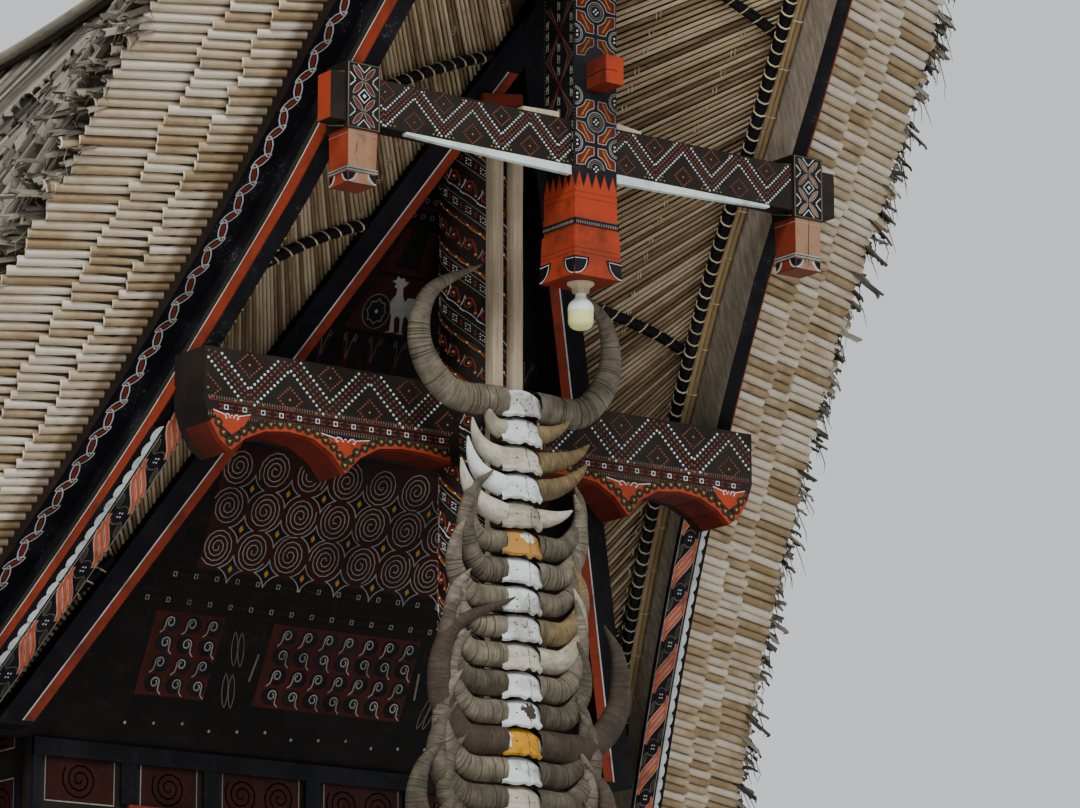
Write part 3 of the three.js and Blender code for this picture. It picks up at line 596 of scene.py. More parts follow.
# Paint: fresh, faded and what is under it, and how worn it is
PAINTED = {
    "white_skull": ("d3d6d7", "9d9d98", "6f5c42", 0.86),
    "ochre_skull": ("b0803f", "8d6a3c", "c9c4b6", 0.6),
    "yellow_skull": ("c08a26", "a7762a", "b5b0a2", 0.62),
    "worn_skull": ("bfc1c0", "8f8a7e", "4d3b29", 0.85),
    "skull_shade": ("3b3126", "2b231b", "1c1712", 0.4),
    "black_paint": ("0e0e13", "1b1b21", "55504a", 0.12),
    "post_ground": ("16161a", "26262b", "5b2a1c", 0.2),
    "orange_paint": ("9c3a20", "7f3320", "45271c", 0.42),
    "dull_orange": ("8a3722", "6b2b1d", "3a231a", 0.45),
    "bright_orange": ("bd5a3c", "9c4630", "45271c", 0.4),
    "cap_ground": ("191512", "241d19", "37281f", 0.55),
    "red_paint": ("5d2119", "451c16", "2b1a15", 0.4),
    "rust_paint": ("7b3020", "5f2a1e", "2b1a15", 0.4),
    "ochre_paint": ("b07a2a", "8c6326", "3a2718", 0.4),
    "white_paint": ("cdd2d4", "a6abab", "4b443c", 0.35),
    "pale_strip": ("cdd8d6", "b3bfbd", "5d6362", 0.3),
    "olive_edge": ("2f3026", "25261f", "4a4a3e", 0.4),
    "salmon_wood": ("93715a", "85573f", "6d3e2c", 0.85),
    "carved_ground": ("1e1a17", "2a2420", "3d2f26", 0.55),
    # The gable wall's ground, a darker copy of carved_ground: painted shade under the roof
    "gable_ground_shade": ("100e0e", "181414", "2a1c17", 0.5),
    "dim_carving": ("6f675c", "4e473f", "2a231e", 0.5),
    "pale_pink": ("b99a8b", "8f7468", "3a2a24", 0.45),
    "olive_leaf": ("3d3a2a", "2b2a20", "1d1c17", 0.4),
    "apron_disc": ("2a2a24", "1d1d1a", "3a332b", 0.4),
    "olive_dots": ("8f8248", "645c38", "2f2a20", 0.4),
    "brown_dots": ("7c473a", "5c382f", "2b1d19", 0.4),
    "net_red": ("421a15", "301410", "1c1210", 0.4),
    "deep_red": ("351613", "26110f", "1c1210", 0.45),
    "grey_carving": ("96948e", "74726d", "3a3733", 0.5),
    "cream_plastic": ("b3a488", "9a8b70", "6c604c", 0.2),
    "lamp_white": ("e3e8e2", "cfd6cf", "b5b9ae", 0.15),
    "lamp_glow": ("d9dd9a", "c8cd84", "b3b774", 0.15),
    "floor": ("d8d6d2", "d2d0cc", "cac8c4", 0.1),
}
# Settings of some finishes; the slats and horns that darken lower down get painted shade there
EXTRAS = {
    "culm": dict(start="5f4b33", coarse=4, streaky=0.2, crack=0.3),
    "slat": dict(coarse=3, streaky=0.3, crack=0.4, painted_shade=(7.6, 6.2)),
    "pole": dict(streaky=0.3),
    "horn": dict(coarse=11, streaky=0.55, crack=0.5, painted_shade=(4.9, 1.9)),
    "horn_groove_shade": dict(coarse=11),
    "dark_horn": dict(coarse=11),
    "brown_horn": dict(coarse=11),
    "bone": dict(coarse=9),
    "black_paint": dict(stretch=(1, 1, 0.4)),
    "post_ground": dict(foot="6a2217"),
    "cap_ground": dict(foot="6d3629"),
    "salmon_wood": dict(stretch=(1, 1, 0.12)),
    "lamp_white": dict(rough=(0.25, 0.4)),
    "lamp_glow": dict(rough=(0.25, 0.4)),
    "floor": dict(rough=(0.8, 0.9)),
}
BARGE_SIDES = {"left_barge": -1, "right_barge": 1}
made_finishes = {}


def finish(name):
    """The finish of this name, made when it is first asked for."""
    if name not in made_finishes:
        extras = EXTRAS.get(name, {})
        if name in BARGE_SIDES:
            made_finishes[name] = barge_wood(name, BARGE_SIDES[name])
        elif name in GRAINED:
            made_finishes[name] = grained(name, *GRAINED[name], **extras)
        else:
            made_finishes[name] = painted(name, *PAINTED[name], **extras)
    return made_finishes[name]


# Meshes

class Piece:
    """Points and faces that become one mesh: a finish for each face, and metres of grain as its UV map."""

    def __init__(self):
        self.points = []
        self.grain = []
        self.faces = []
        self.indices = []
        self.names = []

    def add(self, points, faces, name, grain=None):
        """name is one finish for all the faces, or a list with one for each."""
        base = len(self.points)
        self.points.extend(points)
        self.grain.extend(grain or [(p[0], p[2]) for p in points])
        self.faces.extend([tuple(base + i for i in face) for face in faces])
        for each in [name] * len(faces) if isinstance(name, str) else name:
            if each not in self.names:
                self.names.append(each)
            self.indices.append(self.names.index(each))

    def make(self, name, slot, sharp=50):
        mesh = bpy.data.meshes.new(name)
        mesh.from_pydata(self.points, [], self.faces)
        for finish_name in self.names:
            mesh.materials.append(finish(finish_name))
        mesh.polygons.foreach_set("material_index", self.indices)
        layer = mesh.uv_layers.new(name="grain")
        corners = [self.grain[loop.vertex_index] for loop in mesh.loops]
        layer.data.foreach_set("uv", [value for corner in corners for value in corner])
        mesh.shade_smooth()
        mesh.set_sharp_from_angle(angle=math.radians(sharp))
        piece = bpy.data.objects.new(name, mesh)
        bpy.context.scene.collection.objects.link(piece)
        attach(piece, BODY)
        return piece


def ring_faces(first, second, count, closed=True):
    """Quads between two rings of points that start at the given numbers."""
    last = count if closed else count - 1
    return [(first + i, first + (i + 1) % count, second + (i + 1) % count, second + i) for i in range(last)]


UPRIGHT = Vector((0, 0, 1))


def frame_of(direction, hint=UPRIGHT):
    """Two directions across a stick, right-handed with it."""
    if abs(direction.dot(hint)) > 0.95:
        hint = Vector((1, 0, 0))
    a = hint.cross(direction).normalized()
    return a, direction.cross(a).normalized()


def spokes_round(direction, sides, hint=UPRIGHT):
    """Directions from the middle of a stick to its sides, with the angle of each."""
    a, b = frame_of(direction, hint)
    turns = [2 * math.pi * k / sides for k in range(sides)]
    return [(turn, a * math.cos(turn), b * math.sin(turn)) for turn in turns]


def path_direction(path, i):
    return (path[min(i + 1, len(path) - 1)] - path[max(i - 1, 0)]).normalized()


def tube_faces(rings, sides):
    return [face for i in range(rings - 1) for face in ring_faces(i * sides, (i + 1) * sides, sides)]


def flipped(faces):
    return [tuple(reversed(face)) for face in faces]


def sweep(piece, path, radii, sides, name, offset=(0, 0), caps=True):
    """A round stick along a path, with a radius for each point."""
    points = []
    grain = []
    length = 0.0
    for i, centre in enumerate(path):
        length += (centre - path[i - 1]).length if i else 0.0
        for turn, across, up in spokes_round(path_direction(path, i), sides):
            points.append(centre + (across + up) * radii[i])
            grain.append((length + offset[0], radii[i] * abs(math.pi - turn) + offset[1]))
    faces = tube_faces(len(path), sides)
    if caps:
        faces.append(tuple(range(sides - 1, -1, -1)))
        faces.append(tuple(range((len(path) - 1) * sides, len(path) * sides)))
    piece.add(points, faces, name, grain)


CULM_TAPER = 0.92
CULM_RIM = 0.005
CULM_HOLLOW = 0.04


def culm(piece, start, end, radius, sides, offset, wall=0.006):
    """A bamboo tube that widens to its far end, which is open with a rounded rim; its hollow is coloured near
    black as painted shade.
    """
    direction = (end - start).normalized()
    length = (end - start).length
    neck = end - direction * CULM_RIM
    inside = radius - wall
    rings = [(start, radius * CULM_TAPER), (neck, radius)]
    rims = [(neck, radius), (end, inside), (end - direction * CULM_HOLLOW, inside)]
    spokes = spokes_round(direction, sides)
    points = [centre + (a + b) * r for centre, r in rings for _, a, b in spokes]
    grain = [(length * i + offset[0], radius * abs(math.pi - turn) + offset[1])
             for i in range(len(rings)) for turn, _, _ in spokes]
    piece.add(points, ring_faces(0, sides, sides), "culm", grain)
    points = [centre + (a + b) * r for centre, r in rims for _, a, b in spokes]
    piece.add(points[:2 * sides], ring_faces(0, sides, sides), "culm_end")
    bottom = tuple(range(sides, 2 * sides))
    piece.add(points[sides:], ring_faces(0, sides, sides) + [bottom], "hollow_end")


HALF_CULM_POINTS = 5
HALF_CULM_THICK = 0.012
HALF_CULM_SLANT = 0.002


def half_culm(piece, start, end, up, width, rise, name, rng, ragged):
    """A split bamboo lying with its round side up and a ragged far end."""
    direction = (end - start).normalized()
    across = direction.cross(up).normalized()
    top = across.cross(direction).normalized()
    count = HALF_CULM_POINTS
    points = []
    grain = []
    offset = rng.random() * 50
    length = (end - start).length
    for step, centre in enumerate((start, end)):
        for k in range(count):
            angle = math.pi * k / (count - 1)
            jut = rng.uniform(-ragged, ragged) if step else 0.0
            swell = rng.uniform(0.94, 1.06)
            shift = across * (math.cos(angle) * width / 2 * swell) + top * (math.sin(angle) * rise * swell)
            points.append(centre + shift + direction * jut)
            grain.append((length * step + offset, width * k / count + offset))
    for k in range(count):
        points.append(points[count + k] - top * HALF_CULM_THICK - direction * HALF_CULM_SLANT)
        grain.append((offset, width * k / count + offset))
    faces = []
    for ring in range(2):
        faces.extend(ring_faces(ring * count, (ring + 1) * count, count, closed=False))
    piece.add(points, flipped(faces), name, grain)


def slab(piece, corners, thickness, name):
    """A plate on four corners given anticlockwise seen from outside, thick away from the viewer."""
    normal = (corners[1] - corners[0]).cross(corners[3] - corners[0]).normalized()
    points = list(corners) + [corner - normal * thickness for corner in corners]
    faces = [(0, 1, 2, 3), (7, 6, 5, 4), (0, 4, 5, 1), (1, 5, 6, 2), (2, 6, 7, 3), (3, 7, 4, 0)]
    piece.add(points, faces, name)


# Carving: raised shapes on a surface that is given by a function of (a, b, height)

# Width of a raised shape's top as a part of its foot
RAISED_TAPER = 0.8
LEAF_POINTS = 12
# Points in each turn of a spiral, and its first radius as a part of its last
SPIRAL_POINTS = 10
SPIRAL_EYE = 0.12


class Carving:
    def __init__(self, surface):
        self.surface = surface
        self.piece = Piece()
        origin = surface(0.5, 5.0, 0.0)
        a = surface(0.501, 5.0, 0.0) - origin
        b = surface(0.5, 5.001, 0.0) - origin
        self.mirrored = a.cross(b).dot(surface(0.5, 5.0, 0.001) - origin) < 0

    def add(self, points, faces, name):
        placed = [self.surface(*point) for point in points]
        self.piece.add(placed, flipped(faces) if self.mirrored else faces, name)

    def dot(self, a, b, radius, name, height=0.003, sides=6):
        rings = [(radius, -SINK), (radius * RAISED_TAPER, height)]
        points = [(x, y, h) for r, h in rings for x, y in oval(a, b, r, r, sides)]
        faces = ring_faces(0, sides, sides) + [tuple(range(sides, 2 * sides))]
        self.add(points, faces, name)

    def line(self, path, width, name, height=0.002, closed=False):
        """A raised ribbon along a path of (a, b) points."""
        count = len(path)
        points = []
        for i, (a, b) in enumerate(path):
            before = path[i - 1] if i or closed else path[i]
            after = path[(i + 1) % count] if i < count - 1 or closed else path[i]
            da, db = after[0] - before[0], after[1] - before[1]
            size = math.hypot(da, db) or 1.0
            na, nb = -db / size * width / 2, da / size * width / 2
            for reach, rise in ((-1, -SINK), (-RAISED_TAPER, height), (RAISED_TAPER, height), (1, -SINK)):
                points.append((a + na * reach, b + nb * reach, rise))
        faces = []
        for i in range(count if closed else count - 1):
            first = 4 * i
            second = 4 * ((i + 1) % count)
            for k in range(3):
                faces.append((first + k, second + k, second + k + 1, first + k + 1))
        self.add(points, faces, name)

    def fill(self, outline, name, height=0.002):
        """A raised plate with the given outline, anticlockwise in (a, b)."""
        count = len(outline)
        points = [(a, b, -SINK) for a, b in outline] + [(a, b, height) for a, b in outline]
        faces = ring_faces(0, count, count) + [tuple(range(count, 2 * count))]
        self.add(points, faces, name)

    def leaf(self, a, b, length, half, angle, width, name, inner=None):
        """A pointed oval with an outline, and a filled heart if inner names a finish."""
        def outline(size, spread):
            path = []
            for k in range(LEAF_POINTS):
                turn = 2 * math.pi * k / LEAF_POINTS
                along = size * math.cos(turn)
                aside = spread * math.sin(turn) * abs(math.sin(turn)) ** 0.5
                path.append((a + along * math.cos(angle) - aside * math.sin(angle),
                             b + along * math.sin(angle) + aside * math.cos(angle)))
            return path
        self.line(outline(length / 2, half), width, name, closed=True)
        if inner:
            self.fill(outline(length / 2 - 2 * width, half - 1.6 * width), inner, 0.0016)

    def spiral(self, a, b, radius, turns, width, name, start, hand):
        path = []
        steps = int(turns * SPIRAL_POINTS)
        for k in range(steps + 1):
            part = (k / steps) ** 0.75
            angle = start + hand * turns * 2 * math.pi * part
            r = radius * mix(SPIRAL_EYE, 1, part)
            path.append((a + r * math.cos(angle), b + r * math.sin(angle)))
        self.line(path, width, name)

    def make(self, name, slot="carved_timber"):
        return self.piece.make(name, slot)


def upright_face(u, side, end):
    """A face that looks along the house: a is w, b is z."""
    return lambda a, b, height: place(a, u + height, b, side, end)


def flank_face(w, side, end, way=1):
    """A face that looks sideways, or with way -1 towards the middle plane: a is u, b is z."""
    return lambda a, b, height: place(w + way * height, a, b, side, end)


def post_face(end):
    """The round end post: a is the way round from its front line, b is z."""
    def surface(a, b, height):
        angle = a / POST_RADIUS
        reach = POST_RADIUS + height
        return place(reach * math.sin(angle), POST_U + reach * math.cos(angle), b, 1, end)
    return surface


def gable_face(side, end):
    """The leaning gable wall: a is w, b is z."""
    slope = math.hypot(1, GABLE_LEAN)
    def surface(a, b, height):
        u = gable_u(b) - GABLE_WALL_BACK + height / slope
        return place(a, u, b - height * GABLE_LEAN / slope, side, end)
    return surface


def barge_flank(side, end):
    """The barge plank's outer face: a is z, b is the depth behind its front corner."""
    return lambda a, b, height: place(verge_w(a) + height, verge_u(a) - b, a, side, end)


def barge_front(side, end, depth):
    """The faces of the barge board that look along the house: a is w out from the corner, b is z."""
    return lambda a, b, height: place(verge_w(b) + a, verge_u(b) - depth + height, b, side, end)


# Roof of layered bamboo

CULM_RADIUS = 0.0242
CULM_PITCH = 0.047
COURSE_REACHES = (0.0, 0.25, 0.44, 0.73)
CULM_OVERLAP = 0.07
# How far a tube stands proud of the roof's end face, where it starts and at its open end
CULM_PROUD = (0.036, 0.058)
# Flat sides of a tube, for each end of the house, and where the first course starts, for each side
CULM_SIDES = {1: 6, -1: 8}
CULM_START = {-1: 0.055, 1: -0.05}
STUB_LIMIT = 3.2
CULM_DROP = 0.06


def verge_stations(pitch, low, high):
    """Heights along the verge, a pitch apart along its curve."""
    stations = []
    z = low
    while z < high:
        stations.append(z)
        slope = (verge_w(min(z + 0.01, VERGE_TOP)) - verge_w(min(z, VERGE_TOP))) / 0.01
        z += pitch / math.sqrt(1 + slope * slope + VERGE_LEAN * VERGE_LEAN)
    return stations


def verge_point(z, reach, proud):
    """Point a reach outside the verge's inner edge and proud of the roof's end face."""
    t = (RIDGE_TIP_Z - z) / (RIDGE_TIP_Z - EAVE_Z)
    w, u, _ = roof_edge(t)
    bulge = 1 - math.exp(-t / ROUNDING)
    lift = RIDGE_THICK * (1 - bulge) * clamp(reach / ROOF_OUT)
    return Vector((w + reach * bulge, u - ROOF_BACK * bulge * reach / ROOF_OUT + proud, z + lift))


def verge_bamboo(side, end, rng):
    """Courses of tubes side by side, the open end of each course over the start of the next."""
    piece = Piece()
    for course, (inner, reach) in enumerate(zip(COURSE_REACHES, COURSE_REACHES[1:])):
        low = EAVE_Z + CULM_RADIUS + CULM_PITCH * 0.35 * course
        for z in verge_stations(CULM_PITCH, low, RIDGE_TIP_Z - 0.05):
            radius = CULM_RADIUS * rng.uniform(0.9, 1.0)
            near, far = CULM_PROUD
            begin = max(inner - CULM_OVERLAP, CULM_START[side])
            start = verge_point(z, begin, near + rng.uniform(-0.002, 0.002))
            tip = verge_point(z, reach + rng.uniform(-0.02, 0.02), far + rng.uniform(-0.004, 0.004))
            tip += Vector((0, 0, rng.uniform(-0.003, 0.003) - CULM_DROP * (reach - inner)))
            offset = (rng.randrange(50), rng.random() * 50)
            culm(piece, place(*start, side, end), place(*tip, side, end), radius, CULM_SIDES[end], offset)
    return piece


RAG_LAYERS = 3
RAG_PITCH = 0.042


def verge_rags(side, end, rng):
    """The old ragged bamboo that stands out past the last course, with fibres hanging from it."""
    piece = Piece()
    for layer in range(RAG_LAYERS):
        for z in verge_stations(RAG_PITCH, EAVE_Z + 0.03, RIDGE_TIP_Z - 0.25):
            begin = verge_point(z, COURSE_REACHES[-1] - 0.15, -0.01 - 0.04 * layer)
            run = Vector((1, rng.uniform(-0.5, -0.05), rng.uniform(-0.55, 0.1))).normalized()
            jut = rng.uniform(0.0, 0.07) + (rng.uniform(0.02, 0.09) if rng.random() < 0.4 else 0.0)
            length = 0.15 + (0.02 + 0.025 * layer + jut) * mix(0.3, 1, clamp((RIDGE_TIP_Z - z) / 1.5))
            finish_point = begin + run * length
            up = place(rng.uniform(-0.3, 0.3), 0.5, 1, side, end)
            half_culm(piece, place(*begin, side, end), place(*finish_point, side, end), up,
                      rng.uniform(0.025, 0.075), rng.uniform(0.008, 0.028), "old_culm", rng, 0.03)
            if layer == 1 and rng.random() < 0.18:
                way = Vector((1, rng.uniform(-0.3, 0), rng.uniform(-0.5, 0.1))).normalized()
                stub = begin + way * rng.uniform(0.19, 0.25)
                if stub[0] < STUB_LIMIT:
                    radius = rng.uniform(0.026, 0.038)
                    offset = (rng.random() * 50, rng.random() * 50)
                    culm(piece, place(*begin, side, end), place(*stub, side, end), radius, 7, offset, 0.009)
            if rng.random() < 0.45:
                hang = finish_point + Vector((rng.uniform(-0.02, 0.05), -0.02, -rng.uniform(0.04, 0.12)))
                tail = hang + Vector((rng.uniform(-0.03, 0.03), 0, -rng.uniform(0.02, 0.08)))
                sweep(piece, [place(*point, side, end) for point in (finish_point - run * 0.04, hang, tail)],
                      [0.003, 0.0025, 0.001], 3, "old_culm", caps=False)
    return piece


ROOF_ROWS = 15
ROOF_CULMS = 168
# How far along the roof the culms reach, and how far a course runs past its lower edge, as parts of it
ROOF_REACH = 0.985
ROW_OVERLAP = 0.03
COURSE_STEP = 0.045
COURSE_LEAN = (0.9, 0.4)
COURSE_FADE = 0.07


def course_point(s, t, rise):
    """Point of the roof's stepped face: rise runs from 0 at the top of a course to 1 at its lower edge."""
    w, u, z = roof_point(s, t)
    step = COURSE_STEP * rise * min((1 - abs(s)) / COURSE_FADE, 1)
    return Vector((w + COURSE_LEAN[0] * step, u, z + COURSE_LEAN[1] * step))


def roof_normal(s, t):
    along = roof_point(min(s + 0.01, 1), t) - roof_point(max(s - 0.01, -1), t)
    down = roof_point(s, min(t + 0.01, 1)) - roof_point(s, max(t - 0.01, 0))
    normal = along.cross(down).normalized()
    return normal if normal[0] > 0 or normal[2] > 0.9 else -normal


def roof_cover(side, rng):
    """Split bamboo in courses down the slope, the lower ends standing clear of the course below."""
    piece = Piece()
    for row in range(ROOF_ROWS):
        high = row / ROOF_ROWS
        low = min((row + 1 + ROW_OVERLAP) / ROOF_ROWS, 1.0)
        for k in range(ROOF_CULMS):
            s = (2 * (k + 0.5 + 0.5 * (row % 2)) / (ROOF_CULMS + 1) - 1) * ROOF_REACH
            s += rng.uniform(-0.001, 0.001)
            top = course_point(s, high, 0) + roof_normal(s, high + 0.005) * -0.03
            foot = course_point(s, low, 1) + roof_normal(s, low) * -0.022
            foot += (foot - top).normalized() * rng.uniform(-0.04, 0.03)
            normal = roof_normal(s, (high + low) / 2)
            width = rng.uniform(0.105, 0.128)
            half_culm(piece, place(*top, side, 1), place(*foot, side, 1), place(*normal, side, 1),
                      width, rng.uniform(0.034, 0.048), "old_culm", rng, 0.02)
    return piece


RIDGE_POLES = 5
RIDGE_POLE_PITCH = 0.062
RIDGE_POLE_RADIUS = 0.032
RIDGE_POLE_STEP = 0.012
RIDGE_BENDS = 60


def ridge_poles(rng):
    """Long bamboo side by side along the top of the saddle, the middle one highest."""
    piece = Piece()
    middle = RIDGE_POLES // 2
    for k in range(-middle, middle + 1):
        path = []
        for i in range(RIDGE_BENDS + 1):
            _, u, z = roof_point(mix(-0.99, 0.99, i / RIDGE_BENDS), 0.0)
            lift = RIDGE_POLE_STEP * (1 - abs(k)) + rng.uniform(-0.004, 0.004)
            path.append(Vector((k * RIDGE_POLE_PITCH, u, z + lift)))
        sweep(piece, path, [RIDGE_POLE_RADIUS] * len(path), 8, "old_culm", offset=(k * 7.0, k * 3.0))
    return piece


# Soffits: slats, stitches and tied poles

SLAT_PITCH = 0.0255
SLAT_SIDES = 5
SLAT_BENDS = (0.002, 0.17, 0.33, 0.5, 0.67, 0.83, 0.997)
# Spacing of the rulings as a part of their spacing along the rafter and along the middle beam
RAFTER_SQUEEZE = 1.119
BEAM_SQUEEZE = 0.809
# Rows of stitches: where each starts and ends along the soffit and how far across it is there
STITCH_PITCH = 0.062
SOFFIT_ROWS = [
    (1.2, 2.9, 0.12, 0.9), (0.2, 1.3, 0.3, 0.9), (3.0, 4.4, 0.15, 0.9), (2.1, 3.6, 0.1, 0.75),
    (4.4, 5.6, 0.2, 0.85),
]
# Poles tied to the soffit: start along it and across it, then end along it and across it
TIED_POLES = {
    -1: [(2.12, 0.02, 1.36, 0.97), (2.86, 0.05, 2.0, 0.97), (4.6, 0.05, 3.7, 0.97), (0.6, 0.05, 0.1, 0.6)],
    1: [(1.96, 0.02, 1.33, 0.99), (3.5, 0.05, 2.6, 0.99), (4.9, 0.05, 4.0, 0.97), (0.6, 0.05, 0.1, 0.6)],
}
EDGE_POLE_DEPTH = {-1: 0.296, 1: 0.226}


def slat_stations():
    """Positions of the slats, the same distance apart across the slats in both stretches."""
    bend = SOFFIT_BEND - SOFFIT_FOOT
    stations = []
    position = 0.01
    while position < SOFFIT_LENGTH - 0.02:
        stations.append(position)
        position += SLAT_PITCH / (RAFTER_SQUEEZE if position < bend else BEAM_SQUEEZE)
    return stations


def soffit_slats(side, end, rng):
    piece = Piece()
    for position in slat_stations():
        radius = SLAT_PITCH / 2 * rng.uniform(0.7, 0.84)
        shift = rng.uniform(-0.0015, 0.0015)
        path = [soffit_place(position + shift, across, 0.011 + rng.uniform(-0.001, 0.001), side, end)
                for across in SLAT_BENDS]
        offset = (rng.random() * 50, rng.random() * 50)
        sweep(piece, path, [radius] * len(path), SLAT_SIDES, "slat", offset=offset, caps=False)
    return piece


def stitch(piece, position, across, side, end):
    """Two turns of rattan over one slat."""
    for shift in (-0.008, 0.008):
        path = [soffit_place(position + step, across + shift, lift, side, end)
                for step, lift in ((-0.014, 0.012), (-0.007, 0.024), (0.007, 0.024), (0.014, 0.012))]
        sweep(piece, path, [0.003] * 4, 3, "rattan")


def soffit_stitches(side, end, rng):
    piece = Piece()
    for start, finish_at, low, high in SOFFIT_ROWS[1 - side:]:
        position = start
        while position < finish_at:
            part = (position - start) / (finish_at - start)
            stitch(piece, position, mix(low, high, part) + rng.uniform(-0.006, 0.006), side, end)
            position += STITCH_PITCH
    return piece


def rattan_turn(piece, centre, direction, reach, thick, lean=0.0):
    """One turn of rattan round a pole; a lean makes it slant."""
    a, b = frame_of(direction)
    ring = []
    for k in range(9):
        angle = math.pi * k / 4
        slant = direction * lean * math.sin(angle)
        ring.append(centre + (a * math.cos(angle) + b * math.sin(angle)) * reach + slant)
    sweep(piece, ring, [thick] * len(ring), 3, "rattan", caps=False)


def wrapped_pole(piece, path, radius, pitch):
    """A black pole with pale rattan wound round it."""
    sweep(piece, path, [radius] * len(path), 10, "black_paint")
    spans = [(path[i + 1] - path[i]).length for i in range(len(path) - 1)]
    total = sum(spans)
    turns = int(total / pitch)
    for turn in range(1, turns):
        distance = total * turn / turns
        index = 0
        while distance > spans[index]:
            distance -= spans[index]
            index += 1
        direction = (path[index + 1] - path[index]).normalized()
        rattan_turn(piece, path[index] + direction * distance, direction, radius + 0.002, 0.0045, 0.014)


def soffit_poles(side, end):
    piece = Piece()
    for start, low, stop, high in TIED_POLES[side]:
        path = [soffit_place(mix(start, stop, k / 6), mix(low, high, k / 6), 0.04, side, end)
                for k in range(7)]
        wrapped_pole(piece, path, 0.026, 0.075)
    return piece


def edge_poles(side, end):
    """The wrapped pole and the pair of split bamboos along the barge board's inner face."""
    piece = Piece()
    heights = verge_stations(0.12, 3.7, 10.0)
    depth = EDGE_POLE_DEPTH[side]
    tied = [place(verge_w(z) - 0.178, verge_u(z) - depth, z, side, end) for z in heights]
    wrapped_pole(piece, tied, 0.028, 0.062)
    behind = [place(verge_w(z) - 0.15, verge_u(z) - depth - 0.05, z, side, end) for z in heights]
    sweep(piece, behind, [0.03] * len(behind), 8, "dark_slat")
    for shift in (-0.0145, 0.0145):
        bare = [place(verge_w(z) - 0.116 + shift, verge_u(z) - depth, z, side, end) for z in heights]
        radii = [0.0138 + 0.0012 * (i % 3 == 0) for i in range(len(bare))]
        sweep(piece, bare, radii, 10, "pole", offset=(0, 3 * shift))
        for i in range(0, len(bare) - 1, 2):
            rattan_turn(piece, bare[i], (bare[i + 1] - bare[i]).normalized(), 0.0168, 0.0035)
    return piece


# Barge boards

# Painted strips along the plank: their front and back edges, finish and thickness
BARGE_LOW = 3.32
BARGE_HIGH = 10.2
BARGE_STRIPS = (
    (0.002, 0.106, "dull_orange", 0.008),
    (0.106, 0.114, "white_paint", 0.009),
    (0.114, 0.165, "olive_edge", 0.0085),
)


def barge_paint(side, end):
    carving = Carving(barge_flank(side, end))
    heights = verge_stations(0.15, BARGE_LOW, BARGE_HIGH)
    for depth0, depth1, name, height in BARGE_STRIPS:
        for z0, z1 in zip(heights, heights[1:]):
            carving.fill(rectangle(z0, depth0, z1, depth1), name, height)
    return carving


def leaf_chain(carving):
    """A chain of leaves, tilted one way and the other."""
    for index, z in enumerate(verge_stations(0.071, 3.4, 10.1)):
        slope = math.atan2(1, verge_w(z + 0.01) / 0.01 - verge_w(z) / 0.01)
        tilt = slope + (0.6 if index % 2 else -0.7)
        carving.leaf(0.1, z, 0.088, 0.018, tilt, 0.0055, "white_paint", "rust_paint")


def dark_rose(carving, a, b, size):
    """A black rose with four white dots, between two pale arms and two leaves."""
    carving.fill(oval(a, b, 0.034 * size, 0.034, 16), "black_paint", 0.006)
    for mirror in (-1, 1):
        arm = arc(a, b, mirror * 0.036 * size, mirror * 0.036, 40, 150, 6)
        carving.line(arm, 0.004, "dim_carving", 0.005)
        carving.leaf(a + mirror * 0.038 * size, b + mirror * 0.056, 0.06, 0.011, 1.35, 0.0028,
                     "dim_carving", "olive_leaf")
    for da, db in ((-0.0065, -0.0075), (0.0065, -0.0075), (-0.0065, 0.0075), (0.0065, 0.0075)):
        carving.dot(a + da, b + db, 0.0042, "white_paint", 0.009)


def twisted_strands(carving, z, inner, size):
    """Three pale strands with an orange middle that cross the band above a rose."""
    for strand in (-1, 0, 1):
        path = []
        for k in range(8):
            part = k / 7
            swing = (1 - math.cos(math.pi * part)) / 2
            b = z + ROSE_PITCH / 2 * 0.8 + strand * 0.033 + (part - 0.5) * 0.15
            path.append((inner + size * mix(0.014, 0.106, swing), b))
        carving.line(path, 0.022, "pale_pink", 0.0022)
        carving.line(path, 0.0135, "bright_orange", 0.0042)


def rope_of_leaves(carving, low, high, inner, width):
    """Bundles of twisted leaves between dark roses, and a white scalloped edge; inner is their left edge."""
    size = width / FACING_WIDTH
    for z in verge_stations(ROSE_PITCH, low, high):
        dark_rose(carving, inner + 0.058 * size, z, size)
        twisted_strands(carving, z, inner, size)
    heights = verge_stations(0.1, low, high)
    for a in (inner + 0.112 * size, inner + 0.004):
        carving.line([(a, b) for b in heights], 0.003, "grey_carving", 0.003)
    for z in verge_stations(0.076, low, high):
        carving.fill(arc(inner + 0.124 * size, z, 0.031 * size, 0.034, -90, 90, 6), "white_paint", 0.004)


def barge_carving(side, end):
    """The carved strip beside the bamboo: a chain of leaves on the left, a rope of leaves on the right."""
    carving = Carving(barge_front(side, end, CARVED_DEPTH))
    if side < 0:
        leaf_chain(carving)
    else:
        rope_of_leaves(carving, 3.4, 10.0, 0.002, 0.148)
    return carving


def facing_board(side, end):
    """The board on the front of the barge plank, below the lower beam."""
    board = Piece()
    heights = verge_stations(0.06, FACING_LOW, FACING_HIGH)
    outer = FACING_INNER + FACING_WIDTH
    outline = ((FACING_INNER, -0.002), (FACING_INNER, FACING_PROUD), (outer, FACING_PROUD), (outer, -0.002))
    points = [place(verge_w(z) + a, verge_u(z) + rise, z, side, end) for z in heights for a, rise in outline]
    faces = tube_faces(len(heights), 4) + [(3, 2, 1, 0), tuple(range(len(points) - 4, len(points)))]
    board.add(points, faces if side * end > 0 else flipped(faces), "black_paint")
    return board


def facing_carving(side, end):
    carving = Carving(barge_front(side, end, -FACING_PROUD))
    rope_of_leaves(carving, FACING_LOW + 0.03, FACING_HIGH - 0.02, FACING_INNER, FACING_WIDTH)
    return carving


# Beams with dotted zigzags

